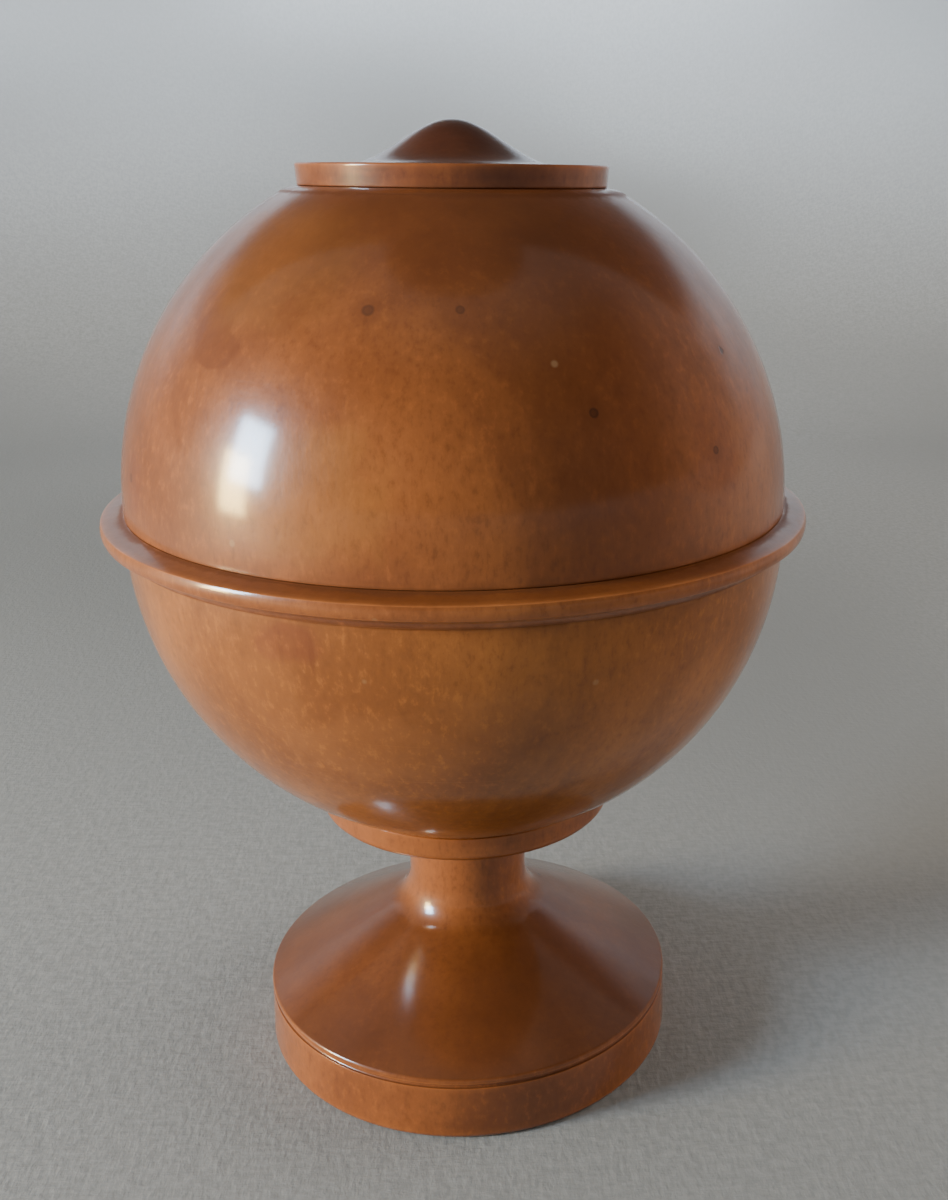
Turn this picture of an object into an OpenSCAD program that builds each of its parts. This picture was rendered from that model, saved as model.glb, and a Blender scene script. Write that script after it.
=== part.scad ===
// A turned wooden globe on a foot that opens like a cryptex. The upper shell carries three brass
// lugs. A belt that turns on the lower shell has a web over them with three gates, so the shell
// lifts only when the gates stand over the lugs. A turning cap locks a small well in the crown.
// The model is drawn unlocked, with every gate open. All sizes are in millimetres, +Z is up and
// the origin is at the middle of the foot's underside.

/* [Globe] */
// Outside diameter of the upper shell
globe_d = 100; // [88:1:120]
// How much wider the lower shell is than the upper one
bowl_extra = 0.6; // [0:0.1:1]
// Thickness of both shells
shell_wall = 7; // [6:0.5:9]
// Height of the band that the belt fills between the two shells
belt_band_h = 4.8; // [4.6:0.1:7]
// How far the lower shell's rim lies below its own equator
rim_drop = 0.6; // [0:0.1:2]

/* [Belt] */
// How far the belt stands proud of the upper shell
belt_proud = 3.5; // [3:0.1:5]
// Radius of the rounded outer face
belt_face_r = 2.2; // [2:0.1:3]
// Fall of the sloping upper face from the shell to the outer edge
belt_top_fall = 0.73; // [0.3:0.05:1.2]
// Radius of the hollow under the outer face
belt_cove_r = 2.6; // [2:0.1:2.8]
// Thickness of the web that reaches over the lugs
web_t = 1.4; // [1.2:0.1:1.8]
// Thickness of the brass ring that holds the belt down
race_t = 1.2; // [1:0.1:1.4]
// Space above and below each turning face of the belt
turn_gap = 0.25; // [0.2:0.05:0.3]

/* [Mouth and lock] */
// How far inside the globe's surface the lower shell's mouth lies
mouth_inset = 10.7; // [9.5:0.1:13]
// Space around the spigot in the mouth
spigot_gap = 0.3; // [0.25:0.05:0.5]
// Thickness of the spigot's wall
spigot_wall = 3; // [2.5:0.1:4]
// How far the spigot reaches down into the lower shell
spigot_h = 12; // [11:0.5:16]
// Width of the ledge under the spigot
ledge_w = 2.5; // [1.5:0.1:3]
// Thickness of that ledge
ledge_t = 3; // [2:0.5:5]
// Diameter of the lugs
lug_d = 2; // [1.6:0.1:2.2]
// How far the lugs stand out of the spigot
lug_reach = 3.2; // [2.4:0.1:3.6]
// Space on each side of a lug in its gate
gate_gap = 0.35; // [0.3:0.05:0.6]
// Diameter of the pin that keeps the upper shell from turning
index_d = 2; // [1.6:0.1:2.4]

/* [Foot] */
// Diameter of the foot at the table
foot_d = 70.9; // [60:0.1:86]
// Height of the foot's rim
foot_rim_h = 11.6; // [8:0.1:15]
// How much narrower the rim is at its top, on each side
foot_rim_taper = 0.4; // [0:0.1:2]
// Slope of the foot's upper face in degrees
foot_slope = 30; // [22:1:34]
// Radius of the hollow between the slope and the stem
stem_cove_r = 7.5; // [5:0.5:9]
// Diameter of the stem
stem_d = 20.1; // [17:0.1:25]
// Height of the stem's top above the table
stem_top = 44; // [40:0.5:60]
// Diameter of the tenon that joins the foot to the globe
tenon_d = 14; // [10:0.5:16]
// Depth of the recess for the baize
baize_t = 1; // [0.8:0.1:1.5]

/* [Collar] */
// Diameter of the collar
collar_d = 48.6; // [44:0.2:60]
// Thickness of the collar at its middle
collar_t = 2.5; // [2:0.1:4]
// Diameter of the flat on which the lower shell sits
seat_d = 41.2; // [36:0.2:43]

/* [Cap and well] */
// Diameter of the cap
cap_d = 44.5; // [36:0.1:54]
// Thickness of the cap's disc
cap_t = 2.85; // [2.4:0.05:4]
// Height of the bell on the cap
bell_h = 5.9; // [4:0.1:9]
// Radius of the bell where it runs out on the disc
bell_r = 15; // [12:0.5:16]
// Space between the cap and the crown it turns on
cap_gap = 0.25; // [0.2:0.05:0.4]
// Depth of the well
well_depth = 21.3; // [18:0.1:26]
// Thickness of the well's wall
well_wall = 3.5; // [3:0.1:4]
// Width of the lip that the tongue turns under
lip_w = 2.5; // [2:0.1:2.8]
// Thickness of that lip
lip_t = 2.5; // [2:0.1:4]
// Diameter of the cap's brass pivot
pivot_d = 6; // [5:0.1:6.4]
// Width of the tongue
tongue_w = 5; // [4:0.1:6]
// Thickness of the tongue
tongue_t = 1.6; // [1.2:0.1:2]

/* [Hidden] */
$fn = 128;

// Overrun of a cut past the face it leaves
cut = 1;
// Radial space of a turning pin in its bore
pin_fit = 0.05;
// Space under a part that rests on another and lifts off it
seat_gap = 0.1;

// Globe, from the table up
dome_r = globe_d / 2;
bowl_r = dome_r + bowl_extra / 2;
seat_z = stem_top + collar_t;
bowl_z = seat_z + sqrt(pow(bowl_r, 2) - pow(seat_d / 2, 2));
rim_z = bowl_z - rim_drop;
dome_z = rim_z + belt_band_h;
floor_t = 5.5;
floor_z = seat_z + floor_t;

// Belt: keeper, race ring and web lie one above the other in the band
belt_r = dome_r + belt_proud;
belt_low = rim_z + turn_gap;
belt_high = dome_z - turn_gap;
web_low = belt_high - web_t;
race_high = web_low - turn_gap;
race_low = race_high - race_t;
keeper_high = race_low - turn_gap;
neck_inset = 4.5;
neck_r = dome_r - neck_inset;
race_step = 0.6;
race_w = 2.5;
race_r = neck_r + race_w;
keeper_w = 1.5;
keeper_r = race_r + keeper_w;
washer_t = 1.15;
washer_rise = 0.15;
washer_w = 2.5;
// How far above the belt's middle its rounded face is centred
face_rise = 0.5;
// How far under that centre the hollow starts
face_under = 1;
// How far inside the belt's edge the hollow is centred
cove_inset = 0.1;

// Mouth, spigot and lock
mouth_r = dome_r - mouth_inset;
spigot_r = mouth_r - spigot_gap;
spigot_low = dome_z - spigot_h;
ledge_z = spigot_low - seat_gap;
ledge_r = mouth_r - ledge_w;
hoop_inset = 1;
hoop_r = neck_r - hoop_inset;
hoop_h = 3.5;
web_bore_gap = 0.5;
lug_z = race_high - lug_d / 2;
lug_tip = spigot_r + lug_reach;
lug_bury = 0.5;
recess_side = 0.4;
recess_under = 0.5;
recess_r = lug_tip + recess_side;
recess_z = lug_z - lug_d / 2 - recess_under;
lug_angles = [80, 205, 318];
pin_set = 3.5;
index_angle = 140;
index_rise = 4;
index_z = spigot_low + index_rise;
index_stand = 1.8;
slot_gap = 0.4;

// Foot
foot_r = foot_d / 2;
rim_top_r = foot_r - foot_rim_taper;
rim_bead_h = 1.5;
rim_bead_r = 0.7;
rim_groove = 0.4;
stem_r = stem_d / 2;
slope_r = rim_top_r - rim_bead_r;
cove_x = stem_r + stem_cove_r;
cove_z = foot_rim_h + (slope_r - cove_x) * tan(foot_slope) + stem_cove_r / cos(foot_slope);
baize_margin = 3.5;
baize_gap = 0.3;
baize_r = foot_r - baize_margin;
nut_r = 11;
nut_h = 6;
tenon_rise = 3.5;

// Cap and well, from the crown down
cap_r = cap_d / 2;
crown_margin = 1.1;
crown_r = cap_r + crown_margin;
crown_z = dome_z + sqrt(pow(dome_r, 2) - pow(crown_r, 2));
cap_low = crown_z + cap_gap;
cap_high = cap_low + cap_t;
cap_undercut = 0.25;
well_rim_inset = 2.2;
well_rim_r = cap_r - well_rim_inset;
well_rim_t = 2;
well_rim_w = 3;
well_r = well_rim_r - well_rim_w;
well_in = well_r - well_wall;
well_floor_t = 2.5;
well_floor = crown_z - well_depth;
lip_r = well_in - lip_w;
lip_depth = 2.5;
lip_high = crown_z - lip_depth;
lip_low = lip_high - lip_t;
plug_stand = 0.3;
plug_low = lip_low - plug_stand;
pivot_r = pivot_d / 2;
pivot_end_r = 2;
pivot_set = 2;
tongue_high = plug_low - turn_gap;
tongue_low = tongue_high - tongue_t;
tongue_space = 1;
tongue_r = well_in - tongue_space;
tongue_hub_r = 3.6;
tongue_angle = 60;
key_d = 1.6;
key_reach = 1.2;
key_angle = 240;
key_rise = 1.3;
key_z = lip_high + key_rise;
screw_r = 0.9;
screw_l = 4;
screw_head_r = 2.8;
screw_head_t = 1;
screw_slot = 0.8;
pad_w = 3;
pad_t = 0.8;
pad_rise = 0.15;

// Steps along the cap's bell
bell_steps = 28;

// Colours
wood_globe = "#a85c24";
wood_belt = "#96501f";
wood_foot = "#9c5524";
wood_cap = "#8f4a22";
wood_inside = "#c28a4c";
brass = "#c9a24a";
leather = "#6b4429";
baize = "#2f5a3c";

// A flat ring between two heights
module ring(r_in, r_out, z0, z1) {
    difference() {
        translate([0, 0, z0]) cylinder(r = r_out, h = z1 - z0);
        translate([0, 0, z0 - cut]) cylinder(r = r_in, h = z1 - z0 + 2 * cut);
    }
}

// A disc between two heights
module disc(r, z0, z1) {
    translate([0, 0, z0]) cylinder(r = r, h = z1 - z0);
}

// The part of a ball between two heights
module ball_slice(r, centre_z, z0, z1) {
    intersection() {
        translate([0, 0, centre_z]) sphere(r = r);
        disc(r + cut, z0, z1);
    }
}

// A round pin that points away from the axis
module radial_pin(r0, r1, z, d, angle) {
    rotate([0, 0, angle])
        translate([r0, 0, z])
            rotate([0, 90, 0])
                cylinder(d = d, h = r1 - r0, $fn = 48);
}

// A straight-sided notch that runs out from r0 to r1
module radial_notch(r0, r1, z0, z1, w, angle) {
    rotate([0, 0, angle])
        translate([r0, -w / 2, z0])
            cube([r1 - r0, w, z1 - z0]);
}

// Half outline of the foot
module foot_outline() {
    difference() {
        union() {
            polygon([
                [0, 0],
                [foot_r, 0],
                [rim_top_r, foot_rim_h - rim_bead_h],
                [rim_top_r, foot_rim_h - rim_bead_r],
                [slope_r, foot_rim_h - rim_bead_r],
                [slope_r, foot_rim_h],
                [cove_x - stem_cove_r * sin(foot_slope), cove_z - stem_cove_r * cos(foot_slope)],
                [cove_x - stem_cove_r * sin(foot_slope), cove_z],
                [stem_r, cove_z],
                [stem_r, stem_top],
                [0, stem_top],
            ]);
            translate([slope_r, foot_rim_h - rim_bead_r]) circle(r = rim_bead_r, $fn = 48);
        }
        translate([cove_x, cove_z]) circle(r = stem_cove_r);
        translate([rim_top_r, foot_rim_h - rim_bead_h]) circle(r = rim_groove, $fn = 48);
    }
}

module foot() {
    color(wood_foot)
        difference() {
            union() {
                rotate_extrude() foot_outline();
                disc(tenon_d / 2, stem_top - cut, floor_z + tenon_rise);
            }
            disc(baize_r, -cut, baize_t);
        }
}

module foot_baize() {
    color(baize) disc(baize_r - baize_gap, 0, baize_t);
}

module collar() {
    color(wood_foot)
        difference() {
            ring(tenon_d / 2, collar_d / 2, stem_top, bowl_z);
            ball_slice(bowl_r, bowl_z, seat_z, bowl_z + cut);
        }
}

module bowl() {
    color(wood_globe)
        difference() {
            union() {
                ball_slice(bowl_r, bowl_z, seat_z, rim_z);
                disc(neck_r, rim_z - cut, race_low);
                disc(neck_r - race_step, rim_z - cut, race_high);
            }
            ball_slice(bowl_r - shell_wall, bowl_z, floor_z, ledge_z - ledge_t);
            disc(ledge_r, ledge_z - ledge_t - cut, race_high + cut);
            disc(mouth_r, ledge_z, race_high + cut);
            disc(recess_r, recess_z, race_high + cut);
            disc(tenon_d / 2, seat_z - cut, floor_z + cut);
            ring(neck_r, neck_r + washer_w, rim_z - washer_t + washer_rise, rim_z + cut);
            radial_pin(ledge_r, mouth_r + pin_set, index_z, index_d, index_angle);
        }
}

module tenon_nut() {
    color(wood_inside)
        difference() {
            intersection() {
                disc(nut_r, floor_z, floor_z + nut_h);
                translate([0, 0, floor_z - nut_r]) sphere(r = nut_r + nut_h);
            }
            disc(tenon_d / 2, floor_z - cut, floor_z + tenon_rise);
        }
}

module index_pin() {
    color(brass) radial_pin(mouth_r - index_stand, mouth_r + pin_set, index_z, index_d, index_angle);
}

module race_ring() {
    color(brass) ring(neck_r - race_step, race_r, race_low, race_high);
}

module belt_washer() {
    color(leather)
        ring(neck_r, neck_r + washer_w, rim_z - washer_t + washer_rise, rim_z + washer_rise);
}

// Half outline of the belt's solid ring, before its inside is turned out
module belt_outline() {
    face_x = belt_r - belt_face_r;
    face_z = (belt_low + belt_high) / 2 + face_rise;
    cove_top = face_z - face_under;
    difference() {
        intersection() {
            union() {
                translate([mouth_r, belt_low]) square([face_x - mouth_r, belt_high - belt_low]);
                translate([face_x, face_z]) circle(r = belt_face_r);
            }
            polygon([
                [mouth_r, belt_low],
                [belt_r + cut, belt_low],
                [belt_r + cut, belt_high - belt_top_fall],
                [belt_r, belt_high - belt_top_fall],
                [dome_r, belt_high],
                [mouth_r, belt_high],
            ]);
        }
        translate([belt_r - cove_inset, cove_top - belt_cove_r]) circle(r = belt_cove_r);
    }
}

module belt() {
    color(wood_belt)
        difference() {
            rotate_extrude() belt_outline();
            disc(keeper_r, belt_low - cut, keeper_high);
            disc(race_r + turn_gap, belt_low - cut, web_low);
            disc(spigot_r + web_bore_gap, web_low - cut, belt_high + cut);
            for (angle = lug_angles)
                radial_notch(
                    spigot_r, lug_tip + gate_gap, web_low - cut, belt_high + cut,
                    lug_d + 2 * gate_gap, angle
                );
        }
}

module belt_keeper() {
    color(wood_inside) ring(neck_r + turn_gap, keeper_r, belt_low, keeper_high);
}

module dome() {
    color(wood_globe)
        difference() {
            ball_slice(dome_r, dome_z, dome_z, crown_z);
            translate([0, 0, dome_z]) sphere(r = dome_r - shell_wall);
            disc(hoop_r, dome_z - cut, dome_z + hoop_h);
            disc(well_r, dome_z, crown_z + cut);
            disc(well_rim_r, crown_z - well_rim_t, crown_z + cut);
        }
}

module dome_skirt() {
    color(wood_inside)
        difference() {
            union() {
                disc(spigot_r, spigot_low, dome_z);
                disc(hoop_r, dome_z, dome_z + hoop_h);
            }
            disc(spigot_r - spigot_wall, spigot_low - cut, dome_z + hoop_h + cut);
            radial_notch(
                mouth_r - index_stand - slot_gap, mouth_r, spigot_low - cut,
                index_z + index_d / 2 + slot_gap, index_d + 2 * slot_gap, index_angle
            );
            for (angle = lug_angles)
                radial_pin(spigot_r - spigot_wall - cut, mouth_r, lug_z, lug_d, angle);
        }
}

module lug_pins() {
    color(brass)
        for (angle = lug_angles)
            radial_pin(spigot_r - spigot_wall + lug_bury, lug_tip, lug_z, lug_d, angle);
}

module well_cup() {
    color(wood_inside)
        difference() {
            union() {
                disc(well_r, well_floor - well_floor_t, crown_z);
                disc(well_rim_r, crown_z - well_rim_t, crown_z);
            }
            disc(well_in, well_floor, lip_low);
            disc(lip_r, lip_low - cut, crown_z + cut);
            disc(well_in, lip_high, crown_z + cut);
            intersection() {
                radial_notch(0, well_in, lip_low - cut, lip_high + cut, tongue_w + 2 * gate_gap,
                    tongue_angle);
                disc(tongue_r + gate_gap, lip_low - cut, lip_high + cut);
            }
            radial_notch(lip_r, well_in + key_reach + gate_gap, lip_high, crown_z + cut,
                key_d + 2 * gate_gap, key_angle);
        }
}

module cap_plug() {
    color(wood_inside)
        difference() {
            union() {
                disc(well_in - spigot_gap, lip_high + seat_gap, crown_z);
                disc(lip_r - spigot_gap, plug_low, lip_high + seat_gap);
            }
            disc(pivot_r + pin_fit, plug_low - cut, crown_z + cut);
            disc(pivot_r + pad_w, crown_z - pad_t, crown_z + cut);
            radial_pin(lip_r, well_in, key_z, key_d, key_angle);
        }
}

module plug_key() {
    color(brass) radial_pin(lip_r, well_in + key_reach, key_z, key_d, key_angle);
}

module pivot_washer() {
    color(leather)
        ring(pivot_r + pin_fit, pivot_r + pad_w, crown_z - pad_t, crown_z + pad_rise);
}

// Half outline of the cap: a flat disc whose edge draws in downwards, and a bell on it
module cap_outline() {
    polygon([
        [0, cap_low],
        [cap_r - cap_undercut, cap_low],
        [cap_r, cap_high],
        for (i = [0 : bell_steps])
            let (t = i / bell_steps)
            [bell_r * (1 - t), cap_high + bell_h * (1 - cos(180 * t)) / 2],
    ]);
}

module cap() {
    color(wood_cap)
        difference() {
            rotate_extrude() cap_outline();
            disc(pivot_r, cap_low - cut, cap_low + pivot_set);
        }
}

module cap_pivot() {
    color(brass)
        difference() {
            union() {
                disc(pivot_r, tongue_high, cap_low + pivot_set);
                disc(pivot_end_r, tongue_low, tongue_high);
            }
            disc(screw_r, tongue_low - cut, tongue_low + screw_l);
        }
}

module cap_tongue() {
    color(brass)
        difference() {
            union() {
                disc(tongue_hub_r, tongue_low, tongue_high);
                intersection() {
                    radial_notch(0, tongue_r, tongue_low, tongue_high, tongue_w, tongue_angle);
                    disc(tongue_r, tongue_low, tongue_high);
                }
            }
            disc(pivot_end_r, tongue_low - cut, tongue_high + cut);
        }
}

module tongue_screw() {
    color(brass)
        difference() {
            union() {
                disc(screw_head_r, tongue_low - screw_head_t, tongue_low);
                disc(screw_r, tongue_low - screw_head_t, tongue_low + screw_l);
            }
            translate([-screw_head_r - cut, -screw_slot / 2, tongue_low - screw_head_t - cut])
                cube([2 * (screw_head_r + cut), screw_slot, cut + screw_head_t / 2]);
        }
}

foot();
foot_baize();
collar();
bowl();
tenon_nut();
index_pin();
race_ring();
belt_washer();
belt();
belt_keeper();
dome();
dome_skirt();
lug_pins();
well_cup();
cap_plug();
plug_key();
pivot_washer();
cap();
cap_pivot();
cap_tongue();
tongue_screw();
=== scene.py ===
"""Finished pieces, polish and studio for a turned globe puzzle box on a foot."""

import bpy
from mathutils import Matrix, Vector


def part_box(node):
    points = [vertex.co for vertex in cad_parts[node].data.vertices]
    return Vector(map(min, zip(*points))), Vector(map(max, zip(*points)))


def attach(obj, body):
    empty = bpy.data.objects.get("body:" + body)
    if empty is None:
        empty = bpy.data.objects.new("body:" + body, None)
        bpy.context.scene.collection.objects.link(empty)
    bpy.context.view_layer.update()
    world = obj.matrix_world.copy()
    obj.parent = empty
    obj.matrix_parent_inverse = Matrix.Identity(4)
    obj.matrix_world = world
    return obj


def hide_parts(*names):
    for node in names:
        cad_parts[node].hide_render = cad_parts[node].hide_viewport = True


bl_info = {
    "name": "Turned Globe Box",
    "version": (1, 0, 0),
    "blender": (4, 5, 0),
    "location": "3D View > Sidebar > Globe Box",
    "description": "Builds the polished pieces of a turned globe puzzle box around its frame",
    "category": "Object",
}

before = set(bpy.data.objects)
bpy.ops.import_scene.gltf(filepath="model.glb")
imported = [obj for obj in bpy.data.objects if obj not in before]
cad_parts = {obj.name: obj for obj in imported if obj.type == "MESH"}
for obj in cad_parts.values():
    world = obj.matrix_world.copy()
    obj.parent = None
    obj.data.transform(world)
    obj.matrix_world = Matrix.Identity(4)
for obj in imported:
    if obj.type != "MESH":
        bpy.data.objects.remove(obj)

from math import acos, asin, atan2, ceil, cos, pi, radians, sin, sqrt, tan

import bmesh
import bpy
from bpy.props import FloatProperty, FloatVectorProperty, IntProperty, PointerProperty
from mathutils import Matrix, Vector

MM = 0.001
# How far an edge's wear and dirt reach past its rounding, and how much is left there
FADES = ((0.12 * MM, 0.7), (0.4 * MM, 0.3), (1.1 * MM, 0.0))
# Turn of each facet in a rounded corner
FACET = radians(15)
# A corner that turns less than this, or is rounder than this, wears less
SHARP_TURN = radians(60)
SHARP_RADIUS = 0.6 * MM
# Edges that turn more than this stay sharp where a cutter made them
SHARP_CUT = radians(38)
# How far a cutter passes beyond the wood that it cuts
OVERCUT = 1 * MM


def span(node):
    """Lowest and highest Z of a node."""
    low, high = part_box(node)
    return low.z, high.z


def reach(node):
    """Outer radius of a turned node."""
    low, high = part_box(node)
    return (high.x - low.x) / 2


def pin_height(node):
    """Height of a level pin's middle."""
    low, high = span(node)
    return (low + high) / 2


# ---------------------------------------------------------------- sizes

def length(name, description, default):
    """A length in metres, given in millimetres."""
    return FloatProperty(name=name, description=description, default=default * MM, unit="LENGTH")


def bearing(name, description, degrees):
    """An angle, given in degrees."""
    return FloatProperty(name=name, description=description, default=radians(degrees),
                         subtype="ANGLE")


def power(name, description, default):
    """A lamp's power in watts."""
    return FloatProperty(name=name, description=description, default=default, unit="POWER")


def tone(name, description, default):
    """A colour in linear light."""
    return FloatVectorProperty(name=name, description=description, default=default, size=3,
                               subtype="COLOR", min=0, max=1)


class GlobeSizes(bpy.types.PropertyGroup):
    shell_wall: length("Shell wall", "Thickness of both shells", 7)
    web: length("Web", "Thickness of the belt's web over the lugs", 1.4)
    web_bore: length("Web bore", "Radius of the opening in the belt's web", 39.5)
    gate_width: length("Gate width", "Width of each gate in the web", 2.7)
    gate_reach: length("Gate reach", "Radius that each gate reaches", 42.55)
    turn_gap: length("Turning gap", "Space at each turning face of the belt", 0.25)
    seam_fit: length("Seam fit", "How far each face beside an outer seam swells into the gap", 0.1)
    seam_width: length("Seam width", "Width of the swollen face at the belt's upper seam", 3.2)
    cap_seam: length("Cap seam", "Width of the swollen face under the cap's edge", 1)
    seam_ramp: length("Seam ramp", "Width in which a face swells", 0.2)
    rest_gap: length("Rest gap", "Space under the spigot and under the plug's flange", 0.1)
    race_width: length("Race width", "Width of the brass race", 3.1)
    neck_step: length("Neck step", "How far the neck stands out under the race", 0.6)
    face_radius: length("Face radius", "Radius of the belt's rounded face", 2.2)
    face_height: length("Face height", "Height of that face's centre over the belt's underside", 2.65)
    cove_radius: length("Cove radius", "Radius of the hollow under the belt's face", 2.6)
    cove_inset: length("Cove inset", "How far inside the belt's edge the hollow is centred", 0.1)
    cove_under: length("Cove under", "How far under the face's centre the hollow starts", 1)
    top_fall: length("Top fall", "Fall of the belt's sloping upper face", 0.73)
    mouth: length("Mouth", "Radius of the lower shell's mouth", 39.3)
    ledge: length("Ledge", "Radius inside the ledge under the spigot", 36.8)
    ledge_thickness: length("Ledge thickness", "Thickness of that ledge", 3)
    recess: length("Recess", "Radius of the recess that the lugs stand in", 42.6)
    recess_depth: length("Recess depth", "Depth of that recess under the neck's top", 2.5)
    spigot_wall: length("Spigot wall", "Thickness of the spigot ring", 3)
    spigot: length("Spigot", "Outer radius of the spigot ring", 39)
    spigot_drop: length("Spigot drop", "How far the spigot reaches below the upper shell", 12)
    index_slot: length("Index slot", "Radius at which the spigot's index slot starts", 37.1)
    index_slot_width: length("Index slot width", "Width of that slot", 2.8)
    pin: length("Pin", "Radius of the lugs and the index pin", 1)
    lug_root: length("Lug root", "How deep a lug starts in the spigot's wall", 0.5)
    lug_stand: length("Lug stand", "How far a lug reaches out of the spigot", 3.2)
    index_stand: length("Index stand", "How far the index pin reaches into the mouth", 1.8)
    index_root: length("Index root", "How deep the index pin sits in the wood", 3.5)
    baize_gap: length("Baize gap", "Space around the baize", 0.3)
    rim_height: length("Rim height", "Height of the foot's rim", 11.6)
    rim_taper: length("Rim taper", "How much narrower the rim is at its top", 0.4)
    rim_bead: length("Rim bead", "Radius of the bead along the rim's top", 0.7)
    bead_height: length("Bead height", "Depth of the groove's centre under the rim's top", 1.5)
    rim_groove: length("Rim groove", "Radius of the fine groove under the bead", 0.4)
    foot_slope: bearing("Foot slope", "Slope of the foot's upper face", 30)
    stem: length("Stem", "Radius of the stem", 10.05)
    stem_cove: length("Stem cove", "Radius of the hollow between slope and stem", 7.5)
    tenon: length("Tenon", "Radius of the tenon through the collar", 7)
    seat: length("Seat", "Radius of the lower shell's flat seat", 20.6)
    seat_rise: length("Seat rise", "Height of the seat above the collar's underside", 2.5)
    lip: length("Lip", "Radius inside the well's lip", 11.05)
    lip_depth: length("Lip depth", "Depth of the lip under the crown", 2.5)
    lip_thickness: length("Lip thickness", "Thickness of the well's lip", 2.5)
    well: length("Well", "Radius inside the well", 13.55)
    well_depth: length("Well depth", "Depth of the well under the crown", 21.3)
    cup: length("Cup", "Outer radius of the well's cup", 17.05)
    cup_rim: length("Cup rim", "Thickness of the cup's rim", 2)
    crown_round: length("Crown round", "Fillet between the upper shell and its crown", 4)
    tongue_notch: length("Tongue notch", "Radius that the lip's notch reaches", 12.9)
    tongue_space: length("Tongue space", "Extra width of that notch", 0.7)
    key_pin: length("Key pin", "Radius of the plug's key", 0.8)
    key_stand: length("Key stand", "How far the key reaches past the well's radius", 1.2)
    key_groove: length("Key groove", "How far the key's groove reaches past the well's radius", 1.55)
    key_groove_width: length("Key groove width", "Width of that groove", 2.3)
    plug_gap: length("Plug gap", "Space between the plug and the lip", 0.3)
    pivot_gap: length("Pivot gap", "Space around the pivot", 0.05)
    cap_thickness: length("Cap thickness", "Thickness of the cap's disc", 2.85)
    cap_undercut: length("Cap undercut", "How much narrower the cap is at its underside", 0.25)
    bell: length("Bell", "Radius at which the cap's bell runs out", 15)
    pivot: length("Pivot", "Radius of the cap's pivot", 3)
    pivot_end: length("Pivot end", "Radius of the pivot where the tongue sits", 2)
    pivot_set: length("Pivot set", "How deep the pivot is let into the cap", 2)
    tongue_width: length("Tongue width", "Width of the tongue", 5)
    tongue_hub: length("Tongue hub", "Radius of the tongue's hub", 3.6)
    tongue_reach: length("Tongue reach", "Radius of the tongue's far end", 12.55)
    screw: length("Screw", "Radius of the tongue screw's shank", 0.9)
    screw_slot: length("Screw slot", "Width of the slot in the screw's head", 0.8)


class GlobeMarks(bpy.types.PropertyGroup):
    gate_one: bearing("First gate", "Place of the first gate around the axis", 80)
    gate_two: bearing("Second gate", "Place of the second gate", 205)
    gate_three: bearing("Third gate", "Place of the third gate", 318)
    index: bearing("Index pin", "Place of the index pin", 140)
    tongue: bearing("Tongue", "Place of the tongue and the lip's notch", 60)
    key: bearing("Plug key", "Place of the plug's key", 240)
    steps: IntProperty(name="Turning steps", description="Facets around a turned piece", default=256,
                       min=32)


class GlobeTones(bpy.types.PropertyGroup):
    globe: tone("Upper shell", "Boxwood of the upper shell", (0.315, 0.095, 0.023))
    globe_deep: tone("Upper shell, deep", "Darker figure in the upper shell", (0.145, 0.038, 0.010))
    bowl: tone("Lower shell", "Boxwood of the lower shell", (0.40, 0.130, 0.024))
    bowl_deep: tone("Lower shell, deep", "Darker figure in the lower shell", (0.175, 0.050, 0.010))
    belt: tone("Belt", "Boxwood of the belt", (0.37, 0.116, 0.030))
    belt_deep: tone("Belt, deep", "Darker figure in the belt", (0.16, 0.042, 0.011))
    foot: tone("Foot", "Boxwood of the foot and collar", (0.295, 0.087, 0.020))
    foot_deep: tone("Foot, deep", "Darker figure in the foot", (0.13, 0.034, 0.009))
    cap: tone("Cap", "Boxwood of the cap", (0.27, 0.080, 0.022))
    cap_deep: tone("Cap, deep", "Darker figure in the cap", (0.085, 0.022, 0.010))
    inner: tone("Inside", "Unpolished boxwood inside", (0.58, 0.36, 0.15))
    inner_deep: tone("Inside, deep", "Darker figure inside", (0.40, 0.21, 0.075))
    grime: tone("Grime", "Dirt and old wax in seams", (0.035, 0.014, 0.007))
    brass: tone("Brass", "Brass of pins and fittings", (0.72, 0.50, 0.20))
    leather: tone("Leather", "Waxed leather washers", (0.14, 0.065, 0.03))
    baize: tone("Baize", "Baize under the foot", (0.03, 0.11, 0.055))
    cloth: tone("Cloth", "Cloth on the floor", (0.245, 0.235, 0.218))
    # Painted light: the same cloth as the floor, given a much paler, bluer colour where it hangs, in
    # place of brighter, cooler light falling on the backdrop.
    wall: tone("Wall", "The same cloth where it hangs", (0.80, 0.87, 0.96))


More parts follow.
